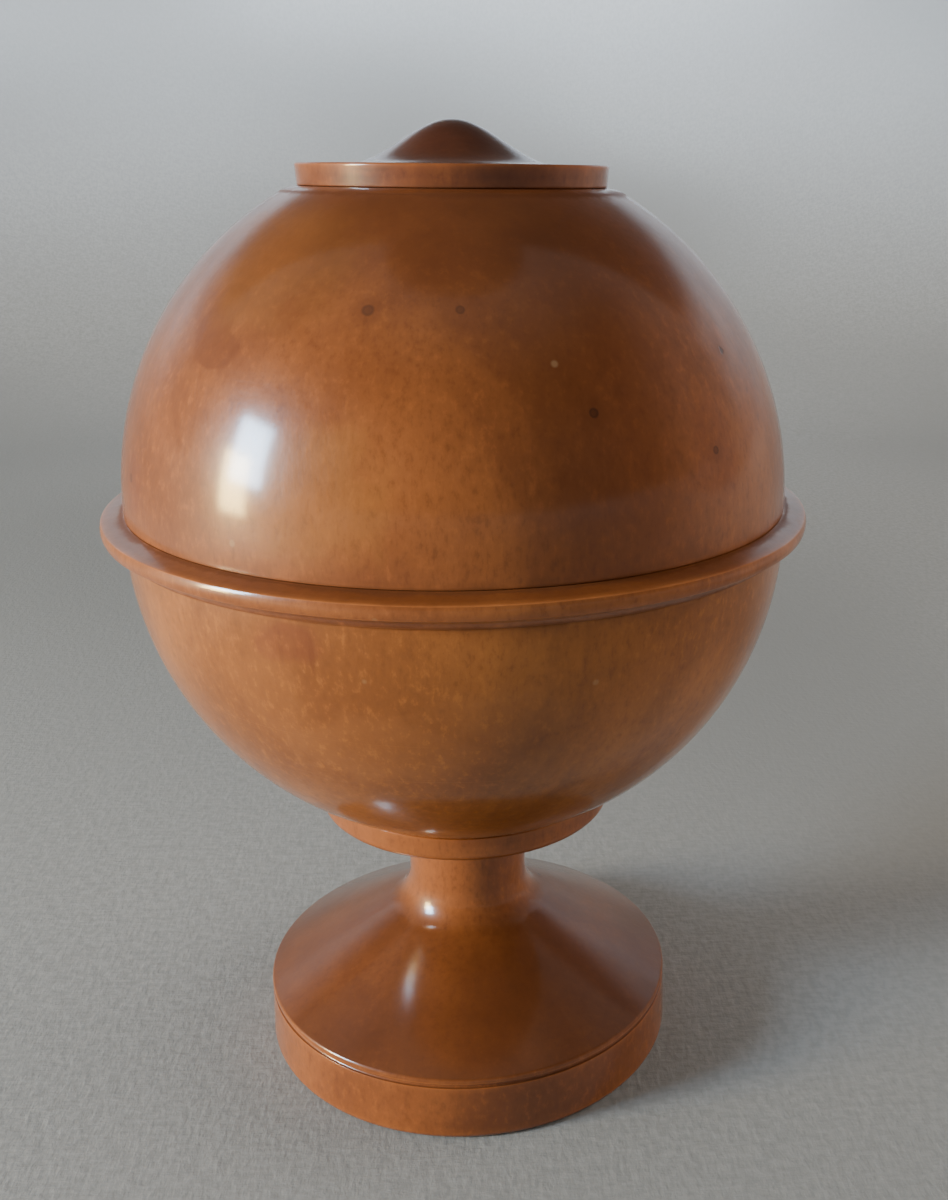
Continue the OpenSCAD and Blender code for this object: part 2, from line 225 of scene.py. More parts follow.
class GlobeStage(bpy.types.PropertyGroup):
    camera_back: length("Camera back", "How far the camera stands in front of the axis", 192.77)
    camera_height: length("Camera height", "Height of the camera over the table", 143.11)
    camera_turn: bearing("Camera turn", "Turn of the camera to the right", 4.84)
    camera_tilt: bearing("Camera tilt", "Tilt of the camera below level", 22.12)
    camera_roll: bearing("Camera roll", "Roll of the camera", 0.61)
    lens: FloatProperty(name="Lens", description="Focal length in millimetres on a 36 mm frame",
                        default=37.49)
    shift_across: FloatProperty(name="Shift across", description="Sideways shift of the lens",
                                default=-0.0733)
    shift_up: FloatProperty(name="Shift up", description="Upward shift of the lens", default=0.0658)
    room: length("Room", "Radius of the round backdrop", 900)
    dark_from: bearing("Dark from", "Where the dark side of the room starts", -116)
    dark_to: bearing("Dark to", "Where the dark side of the room ends", 112)
    dark_top: bearing("Dark top", "How high the dark side reaches", 76)
    window_power: power("Window power", "Power of the window light", 9.2)
    ceiling_power: power("Ceiling power", "Power of the soft overhead light", 2.8)
    fill_power: power("Fill power", "Power of the fill from the left", 2.2)
    right_power: power("Right power", "Power of the weak fill from the right", 5.6)
    wall_power: power("Wall power", "Power of the light on the backdrop", 2.9)
    world: FloatProperty(name="Room light", description="Strength of the room's own light",
                         default=0.32)


GROUPS = (
    ("globe_sizes", GlobeSizes),
    ("globe_marks", GlobeMarks),
    ("globe_tones", GlobeTones),
    ("globe_stage", GlobeStage),
)


# ---------------------------------------------------------------- outlines

def arc(centre, radius, start, end, steps, trim=(0, 0)):
    """Points on an arc of an outline, without its first or last ones where trim says so.

    Angles run from +R towards +Z.
    """
    points = []
    for k in range(trim[0], steps + 1 - trim[1]):
        angle = start + (end - start) * k / steps
        points.append((centre[0] + radius * cos(angle), centre[1] + radius * sin(angle), 0))
    return points


def ball_arc(centre_z, radius, from_z, to_z, steps):
    """The arc of a ball between two heights, without its ends, which are corners of their own."""
    start = asin(max(-1, min(1, (from_z - centre_z) / radius)))
    end = asin(max(-1, min(1, (to_z - centre_z) / radius)))
    return arc((0, centre_z), radius, start, end, steps, trim=(1, 1))


def ball_radius(centre_z, radius, z):
    """Radius of a ball's slice at a height."""
    return sqrt(radius ** 2 - (z - centre_z) ** 2)


def faded(at, direction, start, limit, mark):
    """Points along an edge that carry a corner's mark away to nothing."""
    return [
        (at + direction * (start + far), mark * left)
        for far, left in FADES
        if start + far < limit
    ]


def rounded(corners, closed):
    """Rounds an outline's corners, given as (r, z, fillet), and marks them.

    The outline runs with the wood on its left. A mark is up to 1 on an outer edge, down to -1 in
    an inner corner and 0 between.
    """
    points = []
    count = len(corners)
    for i, (r, z, fillet) in enumerate(corners):
        at = Vector((r, z))
        if fillet == 0 or (not closed and i in (0, count - 1)):
            points.append((at, 0))
            continue
        back = Vector(corners[i - 1][:2]) - at
        ahead = Vector(corners[(i + 1) % count][:2]) - at
        half = back.angle(ahead) / 2
        run = min(fillet / tan(half), 0.45 * min(back.length, ahead.length))
        radius = run * tan(half)
        turn = pi - 2 * half
        side = 1 if ahead.x * back.y - ahead.y * back.x > 0 else -1
        mark = side * min(1, turn / SHARP_TURN) * min(1, SHARP_RADIUS / radius)
        back_limit = back.length / 2
        ahead_limit = ahead.length / 2
        back.normalize()
        ahead.normalize()
        centre = at + (back + ahead).normalized() * radius / sin(half)
        points += reversed(faded(at, back, run, back_limit, mark))
        first = at + back * run - centre
        facets = max(2, ceil(turn / FACET))
        for k in range(facets + 1):
            points.append((centre + Matrix.Rotation(side * turn * k / facets, 2) @ first, mark))
        points += faded(at, ahead, run, ahead_limit, mark)
    return points


# ---------------------------------------------------------------- meshes

def finished(name, work, body, finish, node):
    """Turns a bmesh into a piece in a finish that rides on a body and stands for its node."""
    bmesh.ops.recalc_face_normals(work, faces=work.faces)
    for face in work.faces:
        face.smooth = True
    mesh = bpy.data.meshes.new(name)
    work.to_mesh(mesh)
    work.free()
    mesh.materials.append(bpy.data.materials[finish])
    piece = bpy.data.objects.new(name, mesh)
    bpy.context.scene.collection.objects.link(piece)
    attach(piece, body)
    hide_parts(node)
    return piece


def turn(work, outline, closed, steps, place=None):
    """Turns an outline of marked points about Z into a bmesh."""
    layer = work.verts.layers.float.get("edge_mark") or work.verts.layers.float.new("edge_mark")
    place = place or Matrix.Identity(4)
    rings = []
    for at, mark in outline:
        spots = 1 if abs(at.x) < 1e-9 else steps
        ring = []
        for k in range(spots):
            angle = 2 * pi * k / steps
            vertex = work.verts.new(place @ Vector((at.x * cos(angle), at.x * sin(angle), at.y)))
            vertex[layer] = mark
            ring.append(vertex)
        rings.append(ring)
    pairs = list(zip(rings, rings[1:]))
    if closed:
        pairs.append((rings[-1], rings[0]))
    for lower, upper in pairs:
        for k in range(steps):
            n = (k + 1) % steps
            corners = [lower[k % len(lower)], lower[n % len(lower)],
                       upper[n % len(upper)], upper[k % len(upper)]]
            kept = [v for j, v in enumerate(corners) if v not in corners[:j]]
            if len(kept) > 2:
                work.faces.new(kept)


def turned(name, corners, closed, body, finish, node):
    """A piece turned about the axis from an outline of (r, z, fillet) corners."""
    work = bmesh.new()
    turn(work, rounded(corners, closed), closed, bpy.context.scene.globe_marks.steps)
    return finished(name, work, body, finish, node)


def washer(name, node, body, finish, bore, fillet):
    """A flat ring over a node, with its edges broken."""
    low, high = span(node)
    outer = reach(node)
    corners = [(bore, low, fillet), (outer, low, fillet), (outer, high, fillet), (bore, high, fillet)]
    return turned(name, corners, True, body, finish, node)


def pins(name, node, body, starts, ends, radius, angles):
    """Level round pins of brass that point away from the axis, with rounded tips."""
    work = bmesh.new()
    tip = 0.35 * radius
    corners = [(0, starts, 0), (radius, starts, tip), (radius, ends, tip), (0, ends, 0)]
    for angle in angles:
        place = (
            Matrix.Rotation(angle, 4, "Z")
            @ Matrix.Translation((0, 0, pin_height(node)))
            @ Matrix.Rotation(pi / 2, 4, "Y")
        )
        turn(work, rounded(corners, False), False, 40, place)
    return finished(name, work, body, "satin brass", node)


def notch(r_in, r_out, z_low, z_high, width, angle):
    """A block that cuts a straight-sided notch."""
    work = bmesh.new()
    size = Vector((r_out - r_in, width, z_high - z_low))
    middle = Vector(((r_in + r_out) / 2, 0, (z_low + z_high) / 2))
    stretch = Matrix.Diagonal(size).to_4x4()
    place = Matrix.Rotation(angle, 4, "Z") @ Matrix.Translation(middle) @ stretch
    bmesh.ops.create_cube(work, size=1, matrix=place)
    upright = [e for e in work.edges if abs((e.verts[0].co - e.verts[1].co).z) > 0.9 * size.z]
    bmesh.ops.bevel(work, geom=upright, offset=0.15 * MM, segments=3, affect="EDGES", profile=0.5)
    mesh = bpy.data.meshes.new("notch")
    work.to_mesh(mesh)
    work.free()
    return bpy.data.objects.new("notch", mesh)


def carve(piece, cutters):
    """Cuts each cutter out of a piece and sharpens the new edges."""
    for cutter in cutters:
        bpy.context.scene.collection.objects.link(cutter)
        step = piece.modifiers.new("cut", "BOOLEAN")
        step.operation = "DIFFERENCE"
        step.solver = "EXACT"
        step.object = cutter
    bpy.context.view_layer.update()
    graph = bpy.context.evaluated_depsgraph_get()
    carved = bpy.data.meshes.new_from_object(piece.evaluated_get(graph))
    piece.modifiers.clear()
    whole = piece.data
    piece.data = carved
    carved.name = piece.name
    carved.set_sharp_from_angle(angle=SHARP_CUT)
    bpy.data.meshes.remove(whole)
    for cutter in cutters:
        bpy.data.objects.remove(cutter)


# ---------------------------------------------------------------- node wiring

class Wiring:
    """Adds nodes to a material or node group and joins them."""

    def __init__(self, tree):
        self.tree = tree

    def add(self, kind, inputs=None, **settings):
        node = self.tree.nodes.new(kind)
        for key, value in settings.items():
            setattr(node, key, value)
        for key, value in (inputs or {}).items():
            if isinstance(value, bpy.types.NodeSocket):
                self.tree.links.new(value, node.inputs[key])
            else:
                node.inputs[key].default_value = value
        return node

    def sum(self, operation, *values, clamp=False):
        """The result of one Math node."""
        inputs = dict(enumerate(values))
        return self.add("ShaderNodeMath", inputs, operation=operation, use_clamp=clamp).outputs[0]

    def times(self, first, second):
        return self.sum("MULTIPLY", first, second)

    def plus(self, first, second):
        return self.sum("ADD", first, second)

    def flipped(self, value):
        """One less a value."""
        return self.sum("SUBTRACT", 1.0, value)

    def vector(self, operation, *values):
        """The result of one Vector Math node."""
        inputs = dict(enumerate(values))
        return self.add("ShaderNodeVectorMath", inputs, operation=operation).outputs[0]

    def mapped(self, value, low, high, to_low=0.0, to_high=1.0):
        """A value eased from one range into another."""
        inputs = {"Value": value, "From Min": low, "From Max": high,
                  "To Min": to_low, "To Max": to_high}
        return self.add("ShaderNodeMapRange", inputs, interpolation_type="SMOOTHSTEP").outputs[0]

    def noise(self, vector, scale, detail=2.0, roughness=0.5, distortion=0.0):
        inputs = {"Vector": vector, "Scale": scale, "Detail": detail, "Roughness": roughness,
                  "Distortion": distortion}
        return self.add("ShaderNodeTexNoise", inputs).outputs["Fac"]

    def mix(self, share, first, second):
        """Two colours mixed."""
        node = self.add("ShaderNodeMix", data_type="RGBA")
        for index, value in ((0, share), (6, first), (7, second)):
            if isinstance(value, bpy.types.NodeSocket):
                self.tree.links.new(value, node.inputs[index])
            elif index == 0:
                node.inputs[index].default_value = value
            else:
                node.inputs[index].default_value = tuple(value)[:3] + (1.0,)
        return node.outputs[2]

    def tint(self, colour, mask, share, second):
        """A colour with a share of a second one where a mask lies."""
        return self.mix(self.times(mask, share), colour, second)

    def place(self, group, **inputs):
        """Puts a node group into the tree and returns its outputs; _ stands for a space."""
        node = self.tree.nodes.new("ShaderNodeGroup")
        node.node_tree = bpy.data.node_groups[group]
        for key, value in inputs.items():
            socket = node.inputs[key.replace("_", " ").capitalize()]
            if isinstance(value, bpy.types.NodeSocket):
                self.tree.links.new(value, socket)
            else:
                socket.default_value = value
        return node.outputs


def group(name, inputs, outputs):
    """A new node group, its wiring, its inputs and a function that feeds its outputs."""
    tree = bpy.data.node_groups.new(name, "ShaderNodeTree")
    kinds = {"vector": "NodeSocketVector", "value": "NodeSocketFloat", "colour": "NodeSocketColor"}
    for title, kind, default in inputs:
        socket = tree.interface.new_socket(name=title, in_out="INPUT", socket_type=kinds[kind])
        if default is not None:
            socket.default_value = default
    for title, kind in outputs:
        tree.interface.new_socket(name=title, in_out="OUTPUT", socket_type=kinds[kind])
    wiring = Wiring(tree)
    source = wiring.add("NodeGroupInput")
    result = wiring.add("NodeGroupOutput")

    def give(title, value):
        tree.links.new(value, result.inputs[title])

    return wiring, source.outputs, give


def build_figure():
    """Figure of the wood: growth rings about an upright pith, flecks, mottling and cloudy tone."""
    w, given, give = group(
        "Wood figure",
        [("Position", "vector", None), ("Pith", "vector", (0.03, 0.02, 0)), ("Rings", "value", 190),
         ("Wander", "value", 1.0)],
        [("Figure", "value"), ("Flecks", "value"), ("Cloud", "value"), ("Mottle", "value")],
    )
    upright = w.vector("MULTIPLY", given["Position"], (1, 1, 0.16))
    sway = w.add("ShaderNodeTexNoise", {"Vector": upright, "Scale": 34, "Detail": 2}).outputs["Color"]
    centred = w.vector("SUBTRACT", sway, (0.5, 0.5, 0.5))
    amount = w.vector("SCALE", centred)
    scale = amount.node
    w.tree.links.new(w.times(given["Wander"], 0.022), scale.inputs["Scale"])
    moved = w.vector("ADD", w.vector("SUBTRACT", upright, given["Pith"]), amount)
    flat = w.vector("MULTIPLY", moved, (1, 1, 0.12))
    distance = w.add("ShaderNodeVectorMath", {0: flat}, operation="LENGTH").outputs["Value"]
    turns = w.times(distance, given["Rings"])
    saw = w.sum("FRACT", turns)
    early = w.mapped(saw, 0.0, 0.8)
    late = w.mapped(saw, 0.86, 1.0, 1.0, 0.0)
    uneven = w.noise(w.vector("MULTIPLY", given["Position"], (60, 60, 14)), 1.0, 3.0)
    ring = w.times(w.times(early, late), w.mapped(uneven, 0.3, 0.75))
    give("Figure", ring)
    fine = w.vector("MULTIPLY", given["Position"], (1900, 1900, 520))
    give("Flecks", w.mapped(w.noise(fine, 1.0, 3.0, 0.6), 0.5, 0.8))
    give("Cloud", w.mapped(w.noise(given["Position"], 26.0, 3.0, 0.55, 0.6), 0.3, 0.72))
    give("Mottle", w.noise(w.vector("MULTIPLY", given["Position"], (1, 1, 0.6)), 880.0, 4.0, 0.66))


def build_flaws():
    """Pits with a soft dark halo, and pale specks."""
    w, given, give = group(
        "Small flaws",
        [("Position", "vector", None), ("Spacing", "value", 0.021), ("Size", "value", 0.0007)],
        [("Pits", "value"), ("Halo", "value"), ("Specks", "value")],
    )
    scale = w.sum("DIVIDE", 1.0, given["Spacing"])
    cells = w.add("ShaderNodeTexVoronoi", {"Vector": given["Position"], "Scale": scale})
    ragged = w.noise(given["Position"], 900.0, 2.0)
    away = w.times(cells.outputs["Distance"], given["Spacing"])
    away = w.plus(away, w.times(w.sum("SUBTRACT", ragged, 0.5), 0.0009))
    split = w.add("ShaderNodeSeparateColor", {0: cells.outputs["Color"]})
    some = w.sum("GREATER_THAN", split.outputs[0], 0.55)
    few = w.sum("GREATER_THAN", split.outputs[1], 0.7)
    core = w.flipped(w.mapped(w.sum("DIVIDE", away, given["Size"]), 0.35, 0.9))
    halo = w.flipped(w.mapped(w.sum("DIVIDE", away, given["Size"]), 0.6, 3.6))
    give("Pits", w.times(core, some))
    give("Halo", w.times(halo, some))
    dots = w.add("ShaderNodeTexVoronoi",
                 {"Vector": given["Position"], "Scale": w.times(scale, 1.7)})
    dot = w.flipped(w.mapped(dots.outputs["Distance"], 0.02, 0.05))
    give("Specks", w.times(dot, few))


def build_patch():
    """One stain with a ragged edge that is darker than its middle."""
    w, given, give = group(
        "Stain",
        [("Position", "vector", None), ("Centre", "vector", None), ("Size", "vector", (1, 1, 1)),
         ("Ragged", "value", 0.4), ("Softness", "value", 0.2)],
        [("Mask", "value")],
    )
    local = w.vector("SUBTRACT", given["Position"], given["Centre"])
    shaped = w.vector("DIVIDE", local, given["Size"])
    distance = w.add("ShaderNodeVectorMath", {0: shaped}, operation="LENGTH").outputs["Value"]
    wander = w.sum("SUBTRACT", w.noise(given["Position"], 170.0, 4.0, 0.6), 0.5)
    edge = w.plus(distance, w.times(wander, w.times(given["Ragged"], 2.0)))
    inner = w.flipped(given["Softness"])
    outer = w.plus(1.0, given["Softness"])
    inside = w.flipped(w.mapped(edge, inner, outer))
    line = w.mapped(edge, 0.35, 1.0, 0.62, 1.0)
    give("Mask", w.times(inside, line))


def build_seam():
    """Grime that gathers along a seam at one height and creeps away from it."""
    w, given, give = group(
        "Seam grime",
        [("Position", "vector", None), ("Height", "value", 0.0), ("Creep", "value", 0.0012)],
        [("Line", "value"), ("Creep", "value")],
    )
    split = w.add("ShaderNodeSeparateXYZ", {0: given["Position"]})
    away = w.sum("ABSOLUTE", w.sum("SUBTRACT", split.outputs["Z"], given["Height"]))
    broken = w.noise(w.vector("MULTIPLY", given["Position"], (210, 210, 60)), 1.0, 4.0, 0.65)
    width = w.times(given["Creep"], w.mapped(broken, 0.3, 0.75, 0.25, 2.2))
    share = w.sum("DIVIDE", away, width)
    give("Line", w.flipped(w.mapped(share, 0.0, 0.45)))
    give("Creep", w.flipped(w.mapped(share, 0.0, 1.6)))


def build_edges():
    """Worn outer edges and dirty inner corners, from the marks that the turning left."""
    w, given, give = group(
        "Edges",
        [("Position", "vector", None), ("Patchiness", "value", 0.5)],
        [("Wear", "value"), ("Dirt", "value")],
    )
    mark = w.add("ShaderNodeAttribute", attribute_name="edge_mark").outputs["Fac"]
    patches = w.mapped(w.noise(given["Position"], 130.0, 4.0, 0.6), 0.34, 0.68)
    kept = w.flipped(w.times(given["Patchiness"], w.flipped(patches)))
    give("Wear", w.times(w.sum("MAXIMUM", mark, 0.0), kept))
    inner = w.sum("MAXIMUM", w.times(mark, -1.0), 0.0)
    give("Dirt", w.times(inner, w.mapped(patches, 0.0, 1.0, 0.6, 1.0)))


def build_patina_and_top_shade():
    """Darkens the faces that look up: painted shade for the dimmer light and darker reflections that
    reach them, together with old wax and smoke gathered there.
    """
    w, given, give = group(
        "Settled patina",
        [("Position", "vector", None), ("Strength", "value", 0.6)],
        [("Mask", "value")],
    )
    normal = w.add("ShaderNodeNewGeometry").outputs["Normal"]
    upward = w.add("ShaderNodeSeparateXYZ", {0: normal}).outputs["Z"]
    cloudy = w.mapped(w.noise(given["Position"], 60.0, 4.0, 0.6), 0.3, 0.7, 0.7, 1.0)
    upward_darkening = w.times(w.mapped(upward, 0.3, 0.92), cloudy)
    give("Mask", w.times(upward_darkening, given["Strength"]))


def build_lathe():
    """Fine lines that the lathe left around a piece, and a few deeper ones."""
    w, given, give = group(
        "Lathe lines",
        [("Position", "vector", None), ("Pitch", "value", 0.0006), ("Deep", "value", 0.5)],
        [("Height", "value"), ("Lines", "value")],
    )
    split = w.add("ShaderNodeSeparateXYZ", {0: given["Position"]})
    flat = w.add("ShaderNodeCombineXYZ", {0: split.outputs[0], 1: split.outputs[1]}).outputs[0]
    out = w.add("ShaderNodeVectorMath", {0: flat}, operation="LENGTH").outputs["Value"]
    along = w.plus(split.outputs["Z"], w.times(out, 0.8))
    steps = w.sum("DIVIDE", along, given["Pitch"])
    fine = w.add("ShaderNodeTexNoise", {"W": steps, "Scale": 1.0, "Detail": 2.0},
                 noise_dimensions="1D").outputs["Fac"]
    wide = w.add("ShaderNodeTexNoise", {"W": w.times(steps, 0.16), "Scale": 1.0,
                                        "Detail": 1.0}, noise_dimensions="1D").outputs["Fac"]
    deep = w.times(w.mapped(fine, 0.66, 0.74), w.mapped(wide, 0.52, 0.66))
    where = w.mapped(w.noise(given["Position"], 48.0, 2.0), 0.42, 0.66)
    lines = w.times(w.times(deep, where), given["Deep"])
    give("Lines", lines)
    give("Height", w.sum("SUBTRACT", w.times(fine, 0.35), lines))


def build_polish():
    """Uneven polish: how glossy and how smooth it is from place to place, with rubbed patches."""
    w, given, give = group(
        "Polish",
        [("Position", "vector", None), ("Gloss", "value", 0.9), ("Smooth", "value", 0.3)],
        [("Gloss", "value"), ("Roughness", "value"), ("Ripple", "value")],
    )
    rubbed = w.mapped(w.noise(given["Position"], 38.0, 4.0, 0.6), 0.36, 0.7)
    fine = w.noise(given["Position"], 1500.0, 3.0, 0.65)
    stretched = w.vector("MULTIPLY", given["Position"], (260, 260, 1800))
    scuffs = w.mapped(w.noise(stretched, 1.0, 3.0, 0.6), 0.6, 0.78)
    loss = w.plus(w.times(scuffs, 0.22), w.times(fine, 0.24))
    gloss = w.sum("SUBTRACT", given["Gloss"], w.times(loss, given["Gloss"]), clamp=True)
    give("Gloss", gloss)
    rough = w.plus(given["Smooth"], w.times(rubbed, 0.10))
    give("Roughness", w.plus(rough, w.times(fine, 0.10)))
    give("Ripple", w.noise(given["Position"], 330.0, 3.0, 0.55))


def build_groups():
    build_figure()
    build_flaws()
    build_patch()
    build_seam()
    build_edges()
    build_patina_and_top_shade()
    build_lathe()
    build_polish()


# ---------------------------------------------------------------- materials

def new_material(name):
    """A new material, its wiring, its shader and its position in the frame."""
    material = bpy.data.materials.new(name)
    material.use_nodes = True
    material.node_tree.nodes.clear()
    w = Wiring(material.node_tree)
    shader = w.add("ShaderNodeBsdfPrincipled")
    output = w.add("ShaderNodeOutputMaterial")
    w.tree.links.new(shader.outputs[0], output.inputs[0])
    position = w.add("ShaderNodeTexCoord").outputs["Object"]
    return material, w, shader, position


def lobe(angle, ball, centre_z, rise, width, height):
    """One lobe of a stain on a ball: at an angle in degrees and a rise over the ball's centre."""
    r = sqrt(ball ** 2 - rise ** 2)
    centre = (r * cos(radians(angle)), r * sin(radians(angle)), centre_z + rise)
    return centre, (width, width, height)


def polished(name, light, deep, pith, seams=(), stains=(), gloss=0.95, wear=0.5, figure=0.34,
             flaws=1.0, deep_lines=0.5, patina_and_top_shade=0.6):
    """Polished turned boxwood.

    seams are (height, creep). stains are (lobes, ragged, softness, strength, colour), and each lobe
    is its centre and its half size.
    """
    tones = bpy.context.scene.globe_tones
    material, w, shader, position = new_material(name)
    grain = w.place("Wood figure", position=position, pith=pith)
    colour = w.tint(light, grain["Cloud"], 0.8, deep)
    colour = w.tint(colour, grain["Figure"], figure, deep)
    colour = w.tint(colour, grain["Flecks"], 0.42, deep)
    warm = tuple(min(1.0, 1.25 * v) for v in light)
    colour = w.mix(w.mapped(grain["Mottle"], 0.5, 0.74, 0.0, 0.42), colour, warm)
    colour = w.mix(w.mapped(grain["Mottle"], 0.5, 0.27, 0.0, 0.5), colour, deep)
    for lobes, ragged, softness, strength, stain_tone in stains:
        mask = 0.0
        for centre, size in lobes:
            patch = w.place("Stain", position=position, centre=centre, size=size, ragged=ragged,
                            softness=softness)
            mask = w.sum("MAXIMUM", mask, patch["Mask"])
        colour = w.tint(colour, mask, strength, stain_tone)
    upward_darkening = w.place("Settled patina", position=position, strength=patina_and_top_shade)
    # Painted shade with old wax: faces that look up are darkened towards the deep tone.
    colour = w.mix(upward_darkening["Mask"], colour, tuple(0.55 * v for v in deep))
    lathe = w.place("Lathe lines", position=position, deep=deep_lines)
    colour = w.tint(colour, lathe["Lines"], 0.30, warm)
    marks = w.place("Small flaws", position=position)
    colour = w.tint(colour, marks["Halo"], 0.30 * flaws, deep)
    colour = w.tint(colour, marks["Pits"], 0.75 * flaws, tones.grime)
    colour = w.tint(colour, marks["Specks"], 0.3 * flaws, (0.50, 0.30, 0.14))
    edges = w.place("Edges", position=position)
    colour = w.tint(colour, edges["Wear"], wear, warm)
    colour = w.tint(colour, edges["Dirt"], 0.85, tones.grime)
    dull = w.times(edges["Dirt"], 0.6)
    for seam_height, creep in seams:
        seam = w.place("Seam grime", position=position, height=seam_height, creep=creep)
        colour = w.tint(colour, seam["Creep"], 0.36, deep)
        colour = w.tint(colour, seam["Line"], 0.3, tones.grime)
        dull = w.sum("MAXIMUM", dull, w.times(seam["Line"], 0.7))
    w.tree.links.new(colour, shader.inputs["Base Color"])
    polish = w.place("Polish", position=position, gloss=gloss, smooth=0.3)
    shine = w.times(polish["Gloss"], w.flipped(dull))
    w.tree.links.new(shine, shader.inputs["Coat Weight"])
    w.tree.links.new(w.plus(polish["Roughness"], w.times(dull, 0.3)), shader.inputs["Roughness"])
    height = w.plus(w.times(lathe["Height"], 0.30), w.times(grain["Mottle"], 0.35))
    height = w.plus(height, w.times(polish["Ripple"], 0.5))
    height = w.sum("SUBTRACT", height, w.times(marks["Pits"], 1.6 * flaws))
    bump = w.add("ShaderNodeBump", {"Height": height, "Strength": 0.35, "Distance": 0.00016})
    w.tree.links.new(bump.outputs[0], shader.inputs["Normal"])
    shader.inputs["Coat Roughness"].default_value = 0.13
    shader.inputs["Coat IOR"].default_value = 1.5
    shader.inputs["Specular IOR Level"].default_value = 0.2
    return material


def bare_wood(name):
    """Boxwood as it left the lathe, waxed but not polished."""
    tones = bpy.context.scene.globe_tones
    material, w, shader, position = new_material(name)
    grain = w.place("Wood figure", position=position, pith=(0.026, -0.018, 0))
    colour = w.tint(tones.inner, grain["Cloud"], 0.45, tones.inner_deep)
    colour = w.tint(colour, grain["Figure"], 0.5, tones.inner_deep)
    colour = w.tint(colour, grain["Flecks"], 0.4, tones.inner_deep)
    edges = w.place("Edges", position=position)
    colour = w.tint(colour, edges["Wear"], 0.45, (0.36, 0.17, 0.06))
    colour = w.tint(colour, edges["Dirt"], 0.7, tones.grime)
    w.tree.links.new(colour, shader.inputs["Base Color"])
    lathe = w.place("Lathe lines", position=position, pitch=0.0005, deep=0.9)
    rough = w.mapped(grain["Mottle"], 0.2, 0.8, 0.46, 0.66)
    w.tree.links.new(rough, shader.inputs["Roughness"])
    height = w.plus(w.times(lathe["Height"], 1.0), w.times(grain["Mottle"], 0.6))
    bump = w.add("ShaderNodeBump", {"Height": height, "Strength": 0.5, "Distance": 0.00012})
    w.tree.links.new(bump.outputs[0], shader.inputs["Normal"])
    return material


def satin_brass(name):
    """Turned brass with fine tool lines, tarnished in its corners."""
    tones = bpy.context.scene.globe_tones
    material, w, shader, position = new_material(name)
    tarnish = w.mapped(w.noise(position, 240.0, 4.0, 0.6), 0.35, 0.7)
    colour = w.tint(tones.brass, tarnish, 0.5, (0.36, 0.22, 0.09))
    edges = w.place("Edges", position=position)
    colour = w.tint(colour, edges["Wear"], 0.6, (0.86, 0.66, 0.34))
    colour = w.tint(colour, edges["Dirt"], 0.8, (0.08, 0.05, 0.02))
    w.tree.links.new(colour, shader.inputs["Base Color"])
    w.tree.links.new(w.mapped(tarnish, 0.0, 1.0, 0.22, 0.42), shader.inputs["Roughness"])
    lathe = w.place("Lathe lines", position=position, pitch=0.00018, deep=0.6)
    bump = w.add("ShaderNodeBump", {"Height": lathe["Height"], "Strength": 0.4,
                                    "Distance": 0.00006})
    w.tree.links.new(bump.outputs[0], shader.inputs["Normal"])
    shader.inputs["Metallic"].default_value = 1.0
    return material


def waxed_leather(name):
    """Thin waxed leather with a pebbled face, burnished at its edges."""
    tones = bpy.context.scene.globe_tones
    material, w, shader, position = new_material(name)
    pebbles = w.add("ShaderNodeTexVoronoi", {"Vector": position, "Scale": 2600.0},
                    feature="SMOOTH_F1").outputs["Distance"]
    worn = w.mapped(w.noise(position, 300.0, 4.0), 0.35, 0.7)
    colour = w.tint(tones.leather, worn, 0.6, (0.26, 0.13, 0.06))
    colour = w.mix(w.mapped(pebbles, 0.2, 0.7, 0.0, 0.5), colour, (0.05, 0.022, 0.012))
    edges = w.place("Edges", position=position)
    colour = w.tint(colour, edges["Wear"], 0.5, (0.07, 0.03, 0.015))
    w.tree.links.new(colour, shader.inputs["Base Color"])
    w.tree.links.new(w.mapped(worn, 0.0, 1.0, 0.42, 0.62), shader.inputs["Roughness"])
    height = w.flipped(pebbles)
    bump = w.add("ShaderNodeBump", {"Height": height, "Strength": 0.6, "Distance": 0.0001})
    w.tree.links.new(bump.outputs[0], shader.inputs["Normal"])
    return material


def green_baize(name):
    """Felted wool with short tangled hair."""
    tones = bpy.context.scene.globe_tones
    material, w, shader, position = new_material(name)
    hair = w.noise(position, 2400.0, 5.0, 0.7, 1.2)
    felted = w.mapped(w.noise(position, 160.0, 3.0), 0.3, 0.7)
    colour = w.mix(w.mapped(hair, 0.35, 0.7, 0.0, 0.6), tones.baize, (0.06, 0.19, 0.10))
    colour = w.tint(colour, felted, 0.3, (0.02, 0.06, 0.03))
    w.tree.links.new(colour, shader.inputs["Base Color"])
    bump = w.add("ShaderNodeBump", {"Height": hair, "Strength": 0.8, "Distance": 0.0002})
    w.tree.links.new(bump.outputs[0], shader.inputs["Normal"])
    shader.inputs["Roughness"].default_value = 0.95
    shader.inputs["Sheen Weight"].default_value = 0.5
    return material


